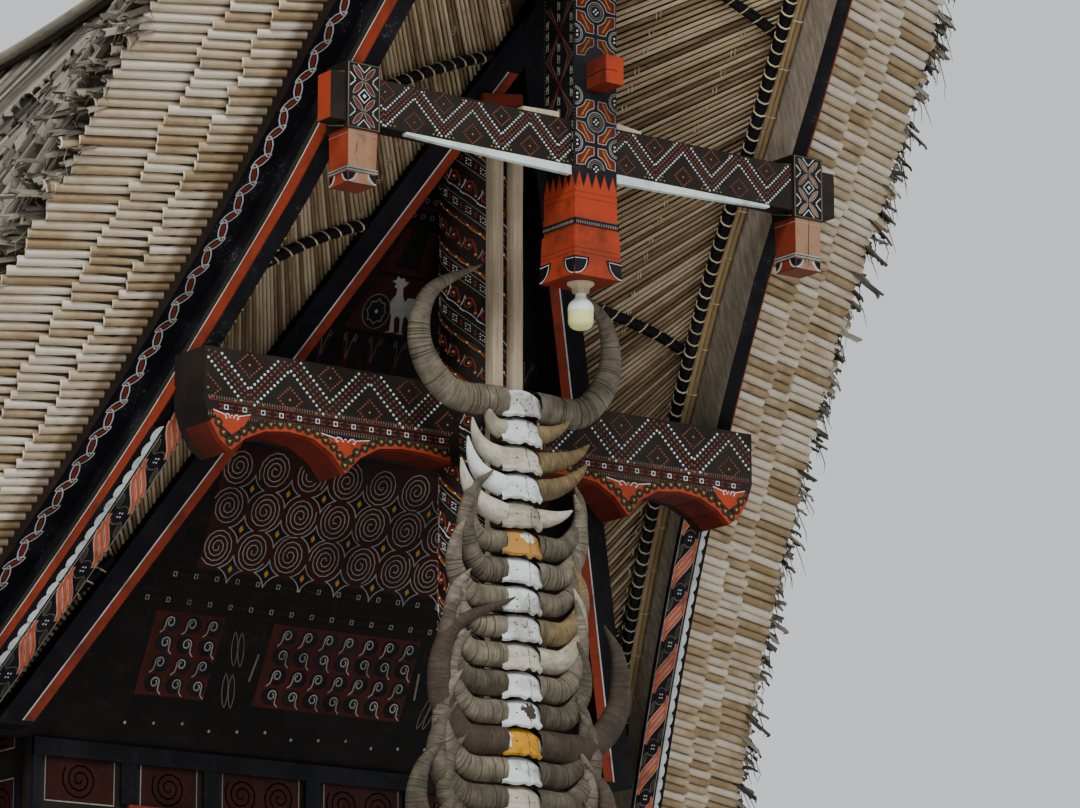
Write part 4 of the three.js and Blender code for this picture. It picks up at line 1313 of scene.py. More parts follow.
# Where the zigzags start on the left and right halves of the beams; the upper one with its period
LOWER_ZIGZAG = {-1: 0.233, 1: 0.112}
LOWER_PERIOD = 0.42
UPPER_ZIGZAG = {-1: (-0.271, 0.307), 1: (-0.1355, 0.321)}


def zigzag_height(w, start, period):
    phase = ((w - start) / period) % 1.0
    return abs(phase - 0.5) * period


def dotted_beam(carving, w0, w1, top, bottom, start, period, valley, band, pitch, radius):
    """Two white dotted zigzags with brown dots between them, and a diamond of brown dots in each triangle.

    valley is how far the upper zigzag's valleys lie under the top, band the drop to the lower zigzag,
    pitch the distance between dots.
    """
    half = period / 2
    rows = ((0, "white_paint"), (1, "white_paint"), (1 / 3, "brown_dots"), (2 / 3, "brown_dots"))
    step = pitch / math.sqrt(2)
    for part, name in rows:
        for i in range(int((w1 - start) / step) + 1):
            w = start + step * i
            z = top - valley + zigzag_height(w, start, period) - part * band
            if bottom + radius * 1.4 < z < top - radius * 1.4 and w0 + radius < w < w1 - radius:
                carving.dot(w, z, radius, name)
    drop = 0.24 * (top - bottom)
    for i in range(int((w1 - start) / half) + 1):
        w = start + half * i
        way = 1 if i % 2 else -1
        z = top - drop if i % 2 else bottom + drop
        marks = [(w, z, "ochre_paint")]
        for k in range(20):
            part = k % 5 / 5
            across, up = ((1 - part, part), (-part, 1 - part), (part - 1, -part), (part, part - 1))[k // 5]
            marks.append((w + across * band * 0.66, z + up * band * 0.6, "brown_dots"))
        for mirror in (-1, 1):
            for across, rise in ((0.4, 0.07), (0.33, 0.07), (0.365, 0.15)):
                b = z + way * (drop - rise * (top - bottom))
                marks.append((w + mirror * across * period, b, "olive_dots"))
        for a, b, name in marks:
            clear = zigzag_height(a, start, period) + top - valley
            if bottom + radius < b < top - radius and w0 + radius < a < w1 - radius:
                if b > clear + radius * 2 or b < clear - band - radius * 2:
                    carving.dot(a, b, radius * 0.85, name)


FRIEZE_PITCH = 0.0945


def frieze(carving, w0, w1, z):
    """A row of small white ring squares joined by red dashes."""
    carving.line([(w0, z + 0.026), (w1, z + 0.026)], 0.004, "rust_paint")
    carving.line([(w0, z - 0.026), (w1, z - 0.026)], 0.004, "rust_paint")
    for lift in (-0.038, 0.038):
        for a, b in along([(w0, z + lift), (w1, z + lift)], 0.013):
            carving.line([(a, b - 0.007), (a, b + 0.007)], 0.0042, "dim_carving", 0.0018)
    for i in range(int((w1 - w0) / FRIEZE_PITCH)):
        w = w0 + 0.045 + FRIEZE_PITCH * i
        square = rectangle(w - 0.009, z - 0.009, w + 0.009, z + 0.009)
        carving.line(square, 0.0056, "white_paint", closed=True)
        for shift in (-0.011, 0.011):
            for mirror in (-1, 1):
                near = w + mirror * 0.016
                far = w + mirror * 0.038
                carving.line([(near, z + shift * 0.5), (far, z + shift)], 0.006, "rust_paint")


APRON = [
    (1.480, 4.800), (1.430, 4.720), (1.370, 4.680), (1.300, 4.740), (1.200, 4.785), (1.080, 4.800),
    (0.950, 4.785), (0.850, 4.730), (0.780, 4.650), (0.700, 4.730), (0.600, 4.785), (0.480, 4.800),
    (0.350, 4.795), (0.220, 4.775),
]


def shifted(path, distance):
    """The path moved sideways by the distance."""
    result = []
    for i, (a, b) in enumerate(path):
        before = path[max(i - 1, 0)]
        after = path[min(i + 1, len(path) - 1)]
        da, db = after[0] - before[0], after[1] - before[1]
        size = math.hypot(da, db)
        result.append((a + db / size * distance, b - da / size * distance))
    return result


def along(path, pitch):
    """Points a pitch apart along a path."""
    result = []
    left = pitch / 2
    for (a0, b0), (a1, b1) in zip(path, path[1:]):
        length = math.hypot(a1 - a0, b1 - b0)
        while left < length:
            part = left / length
            result.append((mix(a0, a1, part), mix(b0, b1, part)))
            left += pitch
        left -= length
    return result


# One petal, as parts of the flower's reach and metres under its top
TULIP_WING = ((0.07, 0.03), (0.17, 0.014), (0.27, 0.012), (0.34, 0.024), (0.3, 0.034), (0.24, 0.028))


def tulip(carving, a, b, reach):
    """A white flower with curled petals on an orange triangle that hangs down to a point."""
    top = b + 0.172
    notch = (a, top - 0.02)
    point = (a, b + 0.07)
    carving.fill([(a - reach, top), (a - 0.06, top - 0.062), point, notch], "orange_paint", 0.0022)
    carving.fill([notch, point, (a + 0.06, top - 0.062), (a + reach, top)], "orange_paint", 0.0022)
    carving.leaf(a, b + 0.118, 0.078, 0.017, math.pi / 2, 0.0045, "white_paint", "black_paint")
    for mirror in (-1, 1):
        wing = [(a + mirror * across * reach, top - drop) for across, drop in TULIP_WING]
        carving.line(wing, 0.0052, "white_paint", 0.0035)
        edge = [(a + mirror * 0.34 * reach, top - 0.018), (a + mirror * 0.95 * reach, top - 0.002)]
        carving.line(edge, 0.0045, "white_paint", 0.0035)


def apron(carving):
    """The scalloped edge: an orange rim under a row of dark half-discs, and flowers over the points."""
    carving.line(shifted(APRON, 0.013), 0.026, "orange_paint", 0.0024)
    for a, b in along(shifted(APRON, 0.033), 0.049):
        carving.fill(oval(a, b, 0.0215, 0.0215, 16), "apron_disc", 0.0042)
        carving.fill([(a - 0.009, b + 0.005), (a, b - 0.009), (a + 0.009, b + 0.005)], "ochre_paint", 0.0056)
    tulip(carving, 0.78, 4.65, 0.155)
    tulip(carving, 1.37, 4.68, 0.1)


def lower_beam_carving(side, end):
    carving = Carving(upright_face(LOWER_U, side, end))
    field = (0.2, LOWER_OUTER, LOWER_TOP, LOWER_BOARD)
    period = LOWER_PERIOD
    dotted_beam(carving, *field, LOWER_ZIGZAG[side] - period, period, 0.169, 0.093, 0.024, 0.0071)
    frieze(carving, 0.22, 1.49, 4.868)
    apron(carving)
    return carving


def upper_beam_carving(side, end):
    carving = Carving(upright_face(UPPER_U, side, end))
    field = (HANG_HALF, CAP_INNER, UPPER_TOP, UPPER_BOTTOM)
    dotted_beam(carving, *field, *UPPER_ZIGZAG[side], 0.133, 0.073, 0.0165, 0.0053)
    return carving


def upper_beam_strip(side, end):
    """The pale strip under the front face, thickest beside the post."""
    piece = Piece()
    depths = [(0.118, 0.041), (0.4, 0.035), (0.7, 0.025), (1.0, 0.012)]
    top = UPPER_BOTTOM - 0.0003
    for (w0, b0), (w1, b1) in zip(depths, depths[1:]):
        outline = [(w0, UPPER_BOTTOM - b0), (w1, UPPER_BOTTOM - b1), (w1, top), (w0, top)]
        corners = [place(w, UPPER_U + 0.004, z, side, end) for w, z in outline]
        slab(piece, corners if side * end > 0 else corners[::-1], 0.03, "pale_strip")
    return piece


# Surfaces of the posts, caps and rafters

FACES_ROUND = ("front", "back", "outer", "inner")


def hang_half(z):
    """Half-width of the hanging post, which spreads into its foot."""
    if z > FOOT_TOP:
        return HANG_HALF
    return mix(FOOT_HALF, FOOT_TOP_HALF, (z - HANG_BOTTOM) / (FOOT_TOP - HANG_BOTTOM))


def block_face(middle_w, middle_u, half, way, side, end):
    """One of four upright faces of a post: a runs across it, b is z, half gives its half-width at b."""
    def surface(a, b, height):
        out = half(b) + height
        shift = {"front": (a, out), "back": (-a, -out), "outer": (out, -a), "inner": (-out, a)}[way]
        return place(middle_w + shift[0], middle_u + shift[1], b, side, end)
    return surface


def hang_face(way, end):
    return block_face(0, HANG_MIDDLE, hang_half, way, 1, end)


def rafter_front(side, end):
    """The rafter's front face: a is out from its inner edge, b is z."""
    return lambda a, b, height: place(rafter_inner(b) + a, gable_u(b) + height, b, side, end)


# Buffalo skulls and horns

def skull_u(a):
    """How far out the skull's front stands at a distance from its middle."""
    return SKULL_FRONT - SKULL_ROUND * (a / SKULL_HALF) ** 2


def skull_slope(z):
    """How far the front leans out below a skull's middle, and back above it."""
    row = round((HORN_TOP - z) / HORN_PITCH)
    return SKULL_SLOPE * (HORN_TOP - row * HORN_PITCH - z) / (SKULL_TALL / 2)


def skull_finish(row, a, b):
    """Finish of one spot of a skull: a patch where one is listed, with a ragged edge."""
    for name, middle_a, middle_b, half_a, half_b in SKULL_PATCHES.get(row, []):
        ragged = 0.16 * math.sin(23 * a + 5 * row) + 0.14 * math.sin(31 * b + 17 * a)
        if ((a - middle_a) / half_a) ** 2 + ((b - middle_b) / half_b) ** 2 < 1 + 1.6 * ragged:
            return name
    return HORN_LOOKS[row][0]


SKULL_COLUMNS = 26
SKULL_ROWS = 14
# The skull's back: its width, and how much its lower and upper edges draw in towards the middle
SKULL_BACK_WIDTH = 0.94
SKULL_BACK_TALL = 0.82


def skull_point(a, b, lumps, lean, row):
    """Point of the front in (w, u, up); a and b run from -1 to 1 across it and up it."""
    wave = sum(lump * math.sin((k + 1.5) * a * 2.1 + k) for k, lump in enumerate(lumps))
    edge = 0.004 * wave * max(-b, 0) ** 3
    arch = 0.014 * a * a * max(b, 0)
    tuck = 0.03 * max(0, b - 0.35) ** 2 / 0.42 + 0.016 * max(0, -b - 0.8) ** 2 / 0.04
    w = SKULL_HALF * a * (1 - 0.09 * max(b, 0) ** 2 - 0.06 * max(-b, 0) ** 3)
    u = skull_u(w) - SKULL_SLOPE * b - tuck + 0.0012 * math.sin(40 * w + 9 * b + row)
    return w, u, SKULL_TALL / 2 * b + edge - arch + lean * w


def skull(piece, row, z, end, rng):
    """A sawn skull front: its top tucked under the one above, its uneven lower edge standing clear."""
    columns, rows = SKULL_COLUMNS, SKULL_ROWS
    lumps = [rng.uniform(-1, 1) for _ in range(6)]
    lean = rng.uniform(-0.05, 0.05)
    front = []
    for j in range(rows + 1):
        for i in range(columns + 1):
            w, u, up = skull_point(2 * i / columns - 1, 2 * j / rows - 1, lumps, lean, row)
            front.append((w, u, z + up))
    points = [place(*point, 1, end) for point in front]
    across = columns + 1
    faces = []
    names = []
    for j in range(rows):
        for i in range(columns):
            first = j * across + i
            faces.append((first, first + 1, first + across + 1, first + across))
            names.append(skull_finish(row, 2 * (i + 0.5) / columns - 1, 2 * (j + 0.5) / rows - 1))
    piece.add(points, faces if end > 0 else flipped(faces), names)
    border = list(range(across))
    border += [j * across + columns for j in range(1, rows + 1)]
    border += [rows * across + i for i in range(columns - 1, -1, -1)]
    border += [j * across for j in range(rows - 1, 0, -1)]
    back = [place(front[k][0] * SKULL_BACK_WIDTH, SKULL_BACK, mix(z, front[k][2], SKULL_BACK_TALL), 1, end)
            for k in border]
    count = len(border)
    faces = ring_faces(0, count, count) + [tuple(range(count, 2 * count))]
    # The sides round each skull's front are dark brown: painted shade
    piece.add([points[k] for k in border] + back, flipped(faces) if end > 0 else faces, "skull_shade")


def horn_path(side, end, z, out, rise, tip):
    """A short horn sweeps straight out and up to its tip; a long one curls round and back in."""
    if tip == out:
        parts = ((0.38, 0.14), (0.66, 0.36), (0.87, 0.66))
        bends = [(mix(HORN_FOOT, out, reach), up * rise) for reach, up in parts]
    else:
        parts = ((0.62, 0.02), (0.97, 0.34))
        bends = [(mix(HORN_FOOT, out, reach), up * rise) for reach, up in parts]
        bends.append((mix(tip, out, 0.82), 0.74 * rise))
    bends = [(HORN_FOOT, 0)] + bends + [(tip, rise)]
    points = [place(w, HORN_U - forward, z + up, side, end) for (w, up), forward in zip(bends, HORN_FORWARD)]
    count = int((out + rise) * 1.05 / HORN_RING_STEP)
    return [spline_point(points, 4 * i / count) for i in range(count + 1)]


HORN_SIDES = 9
HORN_TIP = 0.004
HORN_HINT = Vector((0, 1, 0))
SMOOTH_LOOKS = ("bone", "white_skull")
# Darker finishes for the horns' deep grooves: painted shade
GROOVE_SHADE_LOOKS = {"horn": "horn_groove_shade", "dark_horn": "horn_groove_shade", "brown_horn": "horn"}


def horn(piece, path, thick, look, rng):
    """A horn with uneven growth rings, deepest near the skull, their deep grooves in a darker finish as
    painted shade; a short one tapers all the way.
    """
    groove = GROOVE_SHADE_LOOKS.get(look, look)
    phase = rng.random()
    spacing = rng.uniform(0.011, 0.017)
    strength = 0.0 if look in SMOOTH_LOOKS else rng.uniform(0.02, 0.05)
    groove_shade_part = rng.uniform(0.06, 0.2)
    lengthwise = rng.random() * 9
    reach = len(path) - 1
    power = mix(1.25, 2.3, clamp((reach * HORN_RING_STEP - 0.25) / 0.7))
    length = 0.0
    points = []
    grain = []
    looks = []
    for i, centre in enumerate(path):
        t = i / reach
        step = (centre - path[i - 1]).length if i else 0.0
        length += step
        phase += step / spacing * rng.uniform(0.4, 1.6)
        ring = abs(math.sin(math.pi * phase))
        deep = strength * clamp(1.15 - 1.3 * t)
        radius = mix(thick, HORN_TIP, t ** power) * (1 - deep * (1 - ring ** 0.5))
        for turn, across, up in spokes_round(path_direction(path, i), HORN_SIDES, HORN_HINT):
            lump = 1 + 0.03 * math.sin(3 * turn + 9 * length)
            points.append(centre + (across + up * HORN_FLAT) * radius * lump)
            grain.append((length + lengthwise, radius * abs(math.pi - turn) + lengthwise))
        looks.append(groove if deep > 0.012 and ring < groove_shade_part else look)
    faces = tube_faces(len(path), HORN_SIDES) + [tuple(range(reach * HORN_SIDES, (reach + 1) * HORN_SIDES))]
    names = [each for each in looks[:reach] for _ in range(HORN_SIDES)]
    piece.add(points, faces, names + [look], grain)


def buffalo_horns(end, rng):
    bones = Piece()
    horns = Piece()
    holes = Carving(lambda a, b, height: place(a, skull_u(a) + skull_slope(b) + height, b, 1, end))
    for row, sizes in enumerate(HORNS):
        z = HORN_TOP - row * HORN_PITCH
        skull(bones, row, z, end, rng)
        _, left_look, right_look = HORN_LOOKS[row]
        for side, look, (out, rise, tip) in ((-1, left_look, sizes[:3]), (1, right_look, sizes[3:])):
            thick = clamp((out + rise - 0.3) / 0.8) * 0.026 + 0.046
            horn(horns, horn_path(side, end, z, out, rise, tip), thick, look, rng)
        for a in (-0.046, 0.052):
            holes.dot(a, z + rng.uniform(-0.008, 0.008), 0.0042, "black_paint", 0.0012, 8)
        middle = 0.018 + rng.uniform(-0.012, 0.012)
        lean = rng.uniform(-0.012, 0.012)
        seam = [(middle + lean * k / 8 + rng.uniform(-0.003, 0.003), z + SKULL_TALL * (k / 8 - 0.47) * 0.85)
                for k in range(rng.randint(6, 9))]
        # The seam is a dark crack, in the same dark brown
        holes.line(seam, 0.0026, "skull_shade", 0.001)
    return bones, horns, holes


def batten(side, end, rng):
    """A sawn batten on the post's front, its edges a little uneven."""
    piece = Piece()
    left, right = BATTENS[side]
    points = []
    for i in range(BATTEN_STEPS + 1):
        z = mix(BATTEN_LOW, BATTEN_HIGH, i / BATTEN_STEPS)
        low = left + rng.uniform(-0.0012, 0.0012)
        high = right + rng.uniform(-0.0012, 0.0012)
        shoulder = BATTEN_FRONT - BATTEN_CHAMFER
        for w, u in ((low, BATTEN_BACK), (low, shoulder), (low + BATTEN_CHAMFER, BATTEN_FRONT),
                     (high - BATTEN_CHAMFER, BATTEN_FRONT), (high, shoulder), (high, BATTEN_BACK)):
            points.append(place(w, u, z, 1, end))
    faces = tube_faces(BATTEN_STEPS + 1, 6)
    faces += [tuple(range(5, -1, -1)), tuple(range(6 * BATTEN_STEPS, 6 * BATTEN_STEPS + 6))]
    piece.add(points, faces if end > 0 else flipped(faces), "batten")
    return piece


# Hanging post

def star_petals(carving, z, above, below):
    """The four-cornered petals between a rosette at this height and the nodes above and below it."""
    for up, pitch in ((1, above), (-1, below)):
        for mirror in (-1, 1) if pitch else ():
            outline = [(0.106, 0.008), (0.07, 0.011)] + arc(0, 0, 0.062, 0.062, 12, 78, 4)
            outline += [(0.011, 0.07), (0.011, pitch - 0.011), (0.045, pitch - 0.011)]
            outline += arc(0.108, pitch, 0.055, -0.055, 168, 102, 4) + [(0.106, pitch - 0.06)]
            path = [(mirror * a, z + up * b) for a, b in outline]
            if mirror * up < 0:
                path.reverse()
            carving.fill(path, "red_paint", 0.0012)
            carving.line(path, 0.0045, "grey_carving", 0.0028, closed=True)
            a, b = mirror * 0.058, z + up * pitch / 2
            lean_a, lean_b = mirror * 0.022, up * -0.034
            veins = ((0.0, "ochre_paint", 0.006), (0.009, "rust_paint", 0.004), (-0.009, "rust_paint", 0.004))
            for spread, name, width in veins:
                vein = [(a - lean_a + spread, b - lean_b), (a + lean_a + spread, b + lean_b)]
                carving.line(vein, width, name, 0.003)


def rosette(carving, z, whole=True):
    """Rings round four dots; over the flames only the upper halves of the rings are there."""
    for radius, name in ((0.045, "grey_carving"), (0.036, "dim_carving"), (0.028, "dim_carving")):
        path = oval(0, z, radius, radius, 20) if whole else arc(0, z, radius, radius, 0, 180, 10)
        carving.line(path, 0.0035, name, 0.0022, closed=whole)
    for a, b in oval(0, z, 0.0105, 0.0105, 4):
        carving.dot(a, b, 0.0047, "white_paint", 0.004)


def edge_rosette(carving, z, reach):
    """The half rosettes at both edges of the face."""
    for mirror in (-1, 1):
        for radius in (0.042, 0.034):
            path = arc(mirror * reach, z, -mirror * radius, radius, 90, -90, 10)
            carving.line(path, 0.0035, "grey_carving", 0.0022)
        for lift in (0.009, -0.009):
            carving.dot(mirror * (reach - 0.012), z + lift, 0.0055, "white_paint", 0.004)


def star_column(carving, start, stop, pitch):
    """Rosettes and stars up the post's front; the nodes lie midway between rosettes."""
    z = start
    while z < stop:
        rosette(carving, z)
        star_petals(carving, z, pitch / 2, pitch / 2)
        edge_rosette(carving, z + pitch / 2, HANG_HALF)
        z += pitch


def fret_key(carving, a, z, mirror, size):
    path = [(0, 1), (0, -1), (0.75, -1), (0.75, 0.6), (0.35, 0.6), (0.35, -0.3)]
    carving.line([(a + mirror * size * x, z + size * y) for x, y in path], 0.003, "grey_carving", 0.0016)


EDGE_DOTS_LOW = 5.98
EDGE_DOTS_PITCH = 0.016


def lattice(carving, start, stop, pitch):
    """Two dark red zigzags that cross, with fret keys inside and outside the diamonds."""
    steps = int((stop - start) / pitch)
    for mirror in (-1, 1):
        path = [(mirror * 0.083 * (1 if k % 2 else -1), start + (k - 0.5) * pitch) for k in range(steps + 1)]
        carving.line(path, 0.011, "red_paint", 0.003)
        for part in (0.8, 1.2):
            beside = [(a * part, b) for a, b in path if abs(a * part) < 0.11]
            carving.line(beside, 0.0028, "dim_carving", 0.0015)
    for k in range(steps):
        node = start + k * pitch
        for mirror in (-1, 1):
            for lift in (-0.052, 0.0, 0.052):
                fret_key(carving, mirror * 0.082, node + lift, mirror, 0.019)
        for lift in (-0.055, 0.0, 0.055):
            fret_key(carving, -0.012, node + pitch / 2 + lift, 1, 0.02)
    for mirror in (-1, 1):
        for k in range(int((stop - EDGE_DOTS_LOW) / EDGE_DOTS_PITCH)):
            carving.dot(mirror * 0.108, EDGE_DOTS_LOW + EDGE_DOTS_PITCH * k, 0.0032, "dim_carving", 0.002, 4)


def flames(reach):
    """Outline of the orange paint's top edge: points that rise into the black."""
    path = []
    shoulder = mix(FLAME_FOOT, FLAME_TIP, 0.6)
    for k in range(FLAME_COUNT):
        left = mix(reach, -reach, k / FLAME_COUNT)
        right = mix(reach, -reach, (k + 1) / FLAME_COUNT)
        for part, z in ((0, FLAME_FOOT), (0.3, shoulder), (0.5, FLAME_TIP), (0.7, shoulder)):
            path.append((mix(left, right, part), z))
    return path + [(-reach, FLAME_FOOT)]


def foot_half_rounds(carving, reach):
    for mirror in (-1, 1):
        corner = (mirror * reach, 5.574)
        outline = [corner] + arc(*corner, -mirror * 0.0792, -0.08064, 0, 90, 6)
        if mirror > 0:
            outline.reverse()
        carving.fill([(a, max(b, HANG_BOTTOM + 0.001)) for a, b in outline], "black_paint", 0.0032)
        edge = arc(mirror * reach, 5.566, -mirror * 0.066, -0.072, 0, 90, 6)
        carving.line([(mirror * reach, 5.562)] + edge, 0.004, "white_paint", 0.0045)


# The hanging post's foot: heights of its red lines and of its belt, and the studs round each face
FOOT_LINES = (5.872, 5.845, 5.613, 5.592)
BELT_LOW = 5.722
BELT_HIGH = 5.748
BELT_PROUD = 0.006
STUDS = 24
# Columns of stars: first rosette, stop and pitch; the heights of the nodes between the columns
STAR_COLUMNS = ((6.202, 6.25, 0.215), (6.713, HANG_TOP, 0.23))
STAR_NODES = (6.094, 6.598)
HALF_ROSETTE = 5.985


def foot_paint(carving):
    """Orange paint that ends in flames, with red lines, a studded black belt and half-rounds below."""
    reach = HANG_HALF
    low = hang_half(HANG_BOTTOM)
    foot = [(-low, HANG_BOTTOM), (low, HANG_BOTTOM), (FOOT_TOP_HALF, FOOT_TOP), (-FOOT_TOP_HALF, FOOT_TOP)]
    carving.fill(foot, "orange_paint", 0.0015)
    above = [(-reach, FOOT_TOP + 0.001), (reach, FOOT_TOP + 0.001)] + flames(reach)
    carving.fill(above, "orange_paint", 0.0015)
    for z in FOOT_LINES:
        edge = hang_half(z)
        carving.line([(-edge, z), (edge, z)], 0.004, "rust_paint", 0.0022)
    belt = rectangle(-reach - BELT_PROUD, BELT_LOW, reach + BELT_PROUD, BELT_HIGH)
    carving.fill(belt, "black_paint", 0.0075)
    for k in range(STUDS):
        a = mix(-reach, reach, (k + 0.5) / STUDS)
        carving.line([(a, BELT_LOW + 0.002), (a, BELT_HIGH - 0.01)], 0.003, "grey_carving", 0.0085)
    foot_half_rounds(carving, hang_half(5.53))


def hanging_post_face(way, end):
    """One face of the post: stars and rosettes in front and behind, a lattice on the flanks."""
    carving = Carving(hang_face(way, end))
    foot_paint(carving)
    if way in ("front", "back"):
        for start, stop, pitch in STAR_COLUMNS:
            star_column(carving, start, stop, pitch)
        for node in STAR_NODES:
            edge_rosette(carving, node, HANG_HALF)
            star_petals(carving, node - 0.108, 0.108, 0)
        rosette(carving, HALF_ROSETTE, whole=False)
    else:
        lattice(carving, 6.132, HANG_TOP, 0.249)
    return carving


def peg_paint(end):
    """Paint on the peg through the hanging post: orange in front, worn brown at the sides."""
    front = Carving(upright_face(PEG_FRONT, 1, end))
    low, high = PEG_LOW + 0.001, PEG_HIGH - 0.001
    front.fill(rectangle(-PEG_HALF, low, PEG_HALF, high), "orange_paint", 0.0015)
    front.line([(-PEG_HALF, 6.405), (-0.01, 6.408), (0.012, 6.404)], 0.003, "black_paint", 0.0022)
    pieces = [front]
    for side in (-1, 1):
        flank = Carving(flank_face(PEG_HALF, side, end))
        flank.fill(rectangle(HANG_U + 0.001, low, PEG_FRONT, high), "rust_paint", 0.0015)
        flank.line([(HANG_U + 0.01, 6.4), (5.58, 6.407), (PEG_FRONT, 6.405)], 0.004, "black_paint", 0.0022)
        pieces.append(flank)
    return pieces


# Round end post

def helix_z(a, offset):
    return BAND_START - BAND_SLOPE * a - offset


def post_turns(offset, pitch):
    """Places a pitch apart along a band right round the post, as (a, z)."""
    step = pitch / math.hypot(1, BAND_SLOPE)
    count = int(math.pi * POST_RADIUS / step)
    return [(k * step, helix_z(k * step, offset)) for k in range(-count, count + 1)]


def rope_band(carving, offset, low, high):
    """A jointed rope: an ochre and a red strand between white knots."""
    knots = [spot for spot in post_turns(offset, 0.072) if low < spot[1] < high]
    for (a0, z0), (a1, z1) in zip(knots, knots[1:]):
        for lift, name in ((0.008, "rust_paint"), (-0.006, "ochre_paint")):
            swell = (0.2, 1, 1, 0.2)
            path = [(mix(a0, a1, k / 3), mix(z0, z1, k / 3) + lift * swell[k]) for k in range(4)]
            carving.line(path, 0.0062, name, 0.0032)
    for a, z in knots:
        carving.dot(a, z, 0.006, "white_paint", 0.005, 5)


def dotted_squares(carving, offset, low, high):
    for index, (a, z) in enumerate(post_turns(offset, 0.0425)):
        if not low < z < high:
            continue
        if index % 2:
            for lean in (-0.005, 0.005):
                carving.line([(a + lean, z + 0.012), (a - lean, z - 0.012)], 0.005, "rust_paint")
            continue
        for da in (-1, 0, 1):
            for db in (-1, 0, 1):
                if da or db:
                    lift = db * 0.0125 - da * 0.006
                    carving.dot(a + da * 0.0105, z + lift, 0.0041, "white_paint", 0.0035, 4)
    for lift in (-0.031, 0.031):
        path = [(a, z + lift) for a, z in post_turns(offset, 0.06) if low < z + lift < high]
        if len(path) > 1:
            carving.line(path, 0.0028, "grey_carving", 0.002)


def scroll_band(carving, offset, low, high, outlined):
    """A row of hooked scrolls, each a red curl with a white eye and a tail to the lower right."""
    for a, z in post_turns(offset, 0.1):
        if not low + 0.05 < z < high - 0.05:
            continue
        curl = arc(a - 0.006, z + 0.012, 0.007, 0.007, 460, 60, 12, 4)
        tail = [(a + 0.02, z + 0.012), (a + 0.027, z - 0.016), (a + 0.022, z - 0.036)]
        carving.line(curl + tail, 0.0085, "rust_paint", 0.003)
        carving.dot(a - 0.006, z + 0.012, 0.0052, "white_paint", 0.0045, 5)
        carving.dot(a + 0.024, z - 0.034, 0.008, "ochre_paint", 0.004)
        wing = [(a - 0.045, z + 0.008), (a - 0.03, z + 0.03), (a - 0.024, z + 0.052), (a - 0.02, z + 0.034)]
        carving.line(wing, 0.0035, "white_paint" if outlined else "grey_carving", 0.0025)
        if outlined:
            wave = []
            for k in range(-2, 3):
                bulge = 0.01 * math.cos(math.pi * k / 4)
                wave.append((a + 0.025 * k, z - 0.046 + bulge - 0.019 * k))
            carving.line(wave, 0.0035, "white_paint", 0.0025)


def end_post_carving(end):
    """Bands that climb round the post: ropes between rows of scrolls and dotted squares."""
    carving = Carving(post_face(end))
    low, high = POST_CARVED
    for turn in range(-5, int((high - low) / BAND_PERIOD) + 5):
        base = turn * BAND_PERIOD
        rope_band(carving, base, low, high)
        scroll_band(carving, base + 0.097, low, high, False)
        rope_band(carving, base + 0.185, low, high)
        dotted_squares(carving, base + 0.247, low, high)
        scroll_band(carving, base + 0.369, low, high, True)
        dotted_squares(carving, base + 0.474, low, high)
    return carving


# Caps at the ends of the upper beam

def cross_leaves(carving, a, b, name):
    """Four leaves that meet in a cross, with white chevrons between them."""
    for way_a, way_b in ((-1, -1), (-1, 1), (1, -1), (1, 1)):
        angle = math.atan2(way_b * 0.06, way_a * 0.052)
        carving.leaf(a + way_a * 0.03, b + way_b * 0.0325, 0.078, 0.0115, angle, 0.0035, "grey_carving", name)
    chevron = ((0.072, 0.03), (0.044, 0.004), (0.05, 0), (0.044, -0.004), (0.072, -0.03))
    for way in (-1, 1):
        carving.line([(a + way * out, b + up) for out, up in chevron], 0.0042, "white_paint", 0.003)


def cap_front(side, end):
    """Two crosses of leaves that leave a diamond between them."""
    carving = Carving(upright_face(CAP_U, side, end))
    leaf = "salmon_wood" if side > 0 else "rust_paint"
    border = rectangle(CAP_INNER + 0.006, CAP_LOW + 0.006, CAP_OUTER - 0.006, CAP_HIGH - 0.006)
    carving.line(border, 0.006, "dim_carving", 0.0025, closed=True)
    middle = (CAP_LOW + CAP_HIGH) / 2
    for way in (-1, 1):
        cross_leaves(carving, CAP_MIDDLE, middle + way * 0.0685, leaf)
        carving.line([(CAP_MIDDLE - 0.032, middle + way * 0.137), (CAP_MIDDLE, middle + way * 0.104),
                      (CAP_MIDDLE + 0.032, middle + way * 0.137)], 0.0042, "white_paint", 0.003)
    diamonds = ((0.033, "white_paint", 0.0045), (0.027, "black_paint", 0.0055), (0.01, "white_paint", 0.0065))
    for size, name, height in diamonds:
        carving.fill(oval(CAP_MIDDLE, middle, size, size, 4), name, height)
    return carving


def cap_ribs(w, facing, side, end):
    """Slanted pale ribs on a side of the cap; facing is 1 on its outer side and -1 on its inner one."""
    carving = Carving(flank_face(w, side, end, facing))
    for k in range(CAP_RIBS):
        z = mix(CAP_LOW + 0.02, CAP_HIGH - 0.035, k / (CAP_RIBS - 1))
        carving.line([(CAP_U - 0.145, z + 0.02), (CAP_U - 0.015, z - 0.012)], 0.0065, "dim_carving", 0.003)
    return carving


def pendant_half(z):
    return mix(PENDANT_LOW_HALF, PENDANT_HALF, (z - PENDANT_LOW) / (CAP_LOW - PENDANT_LOW))


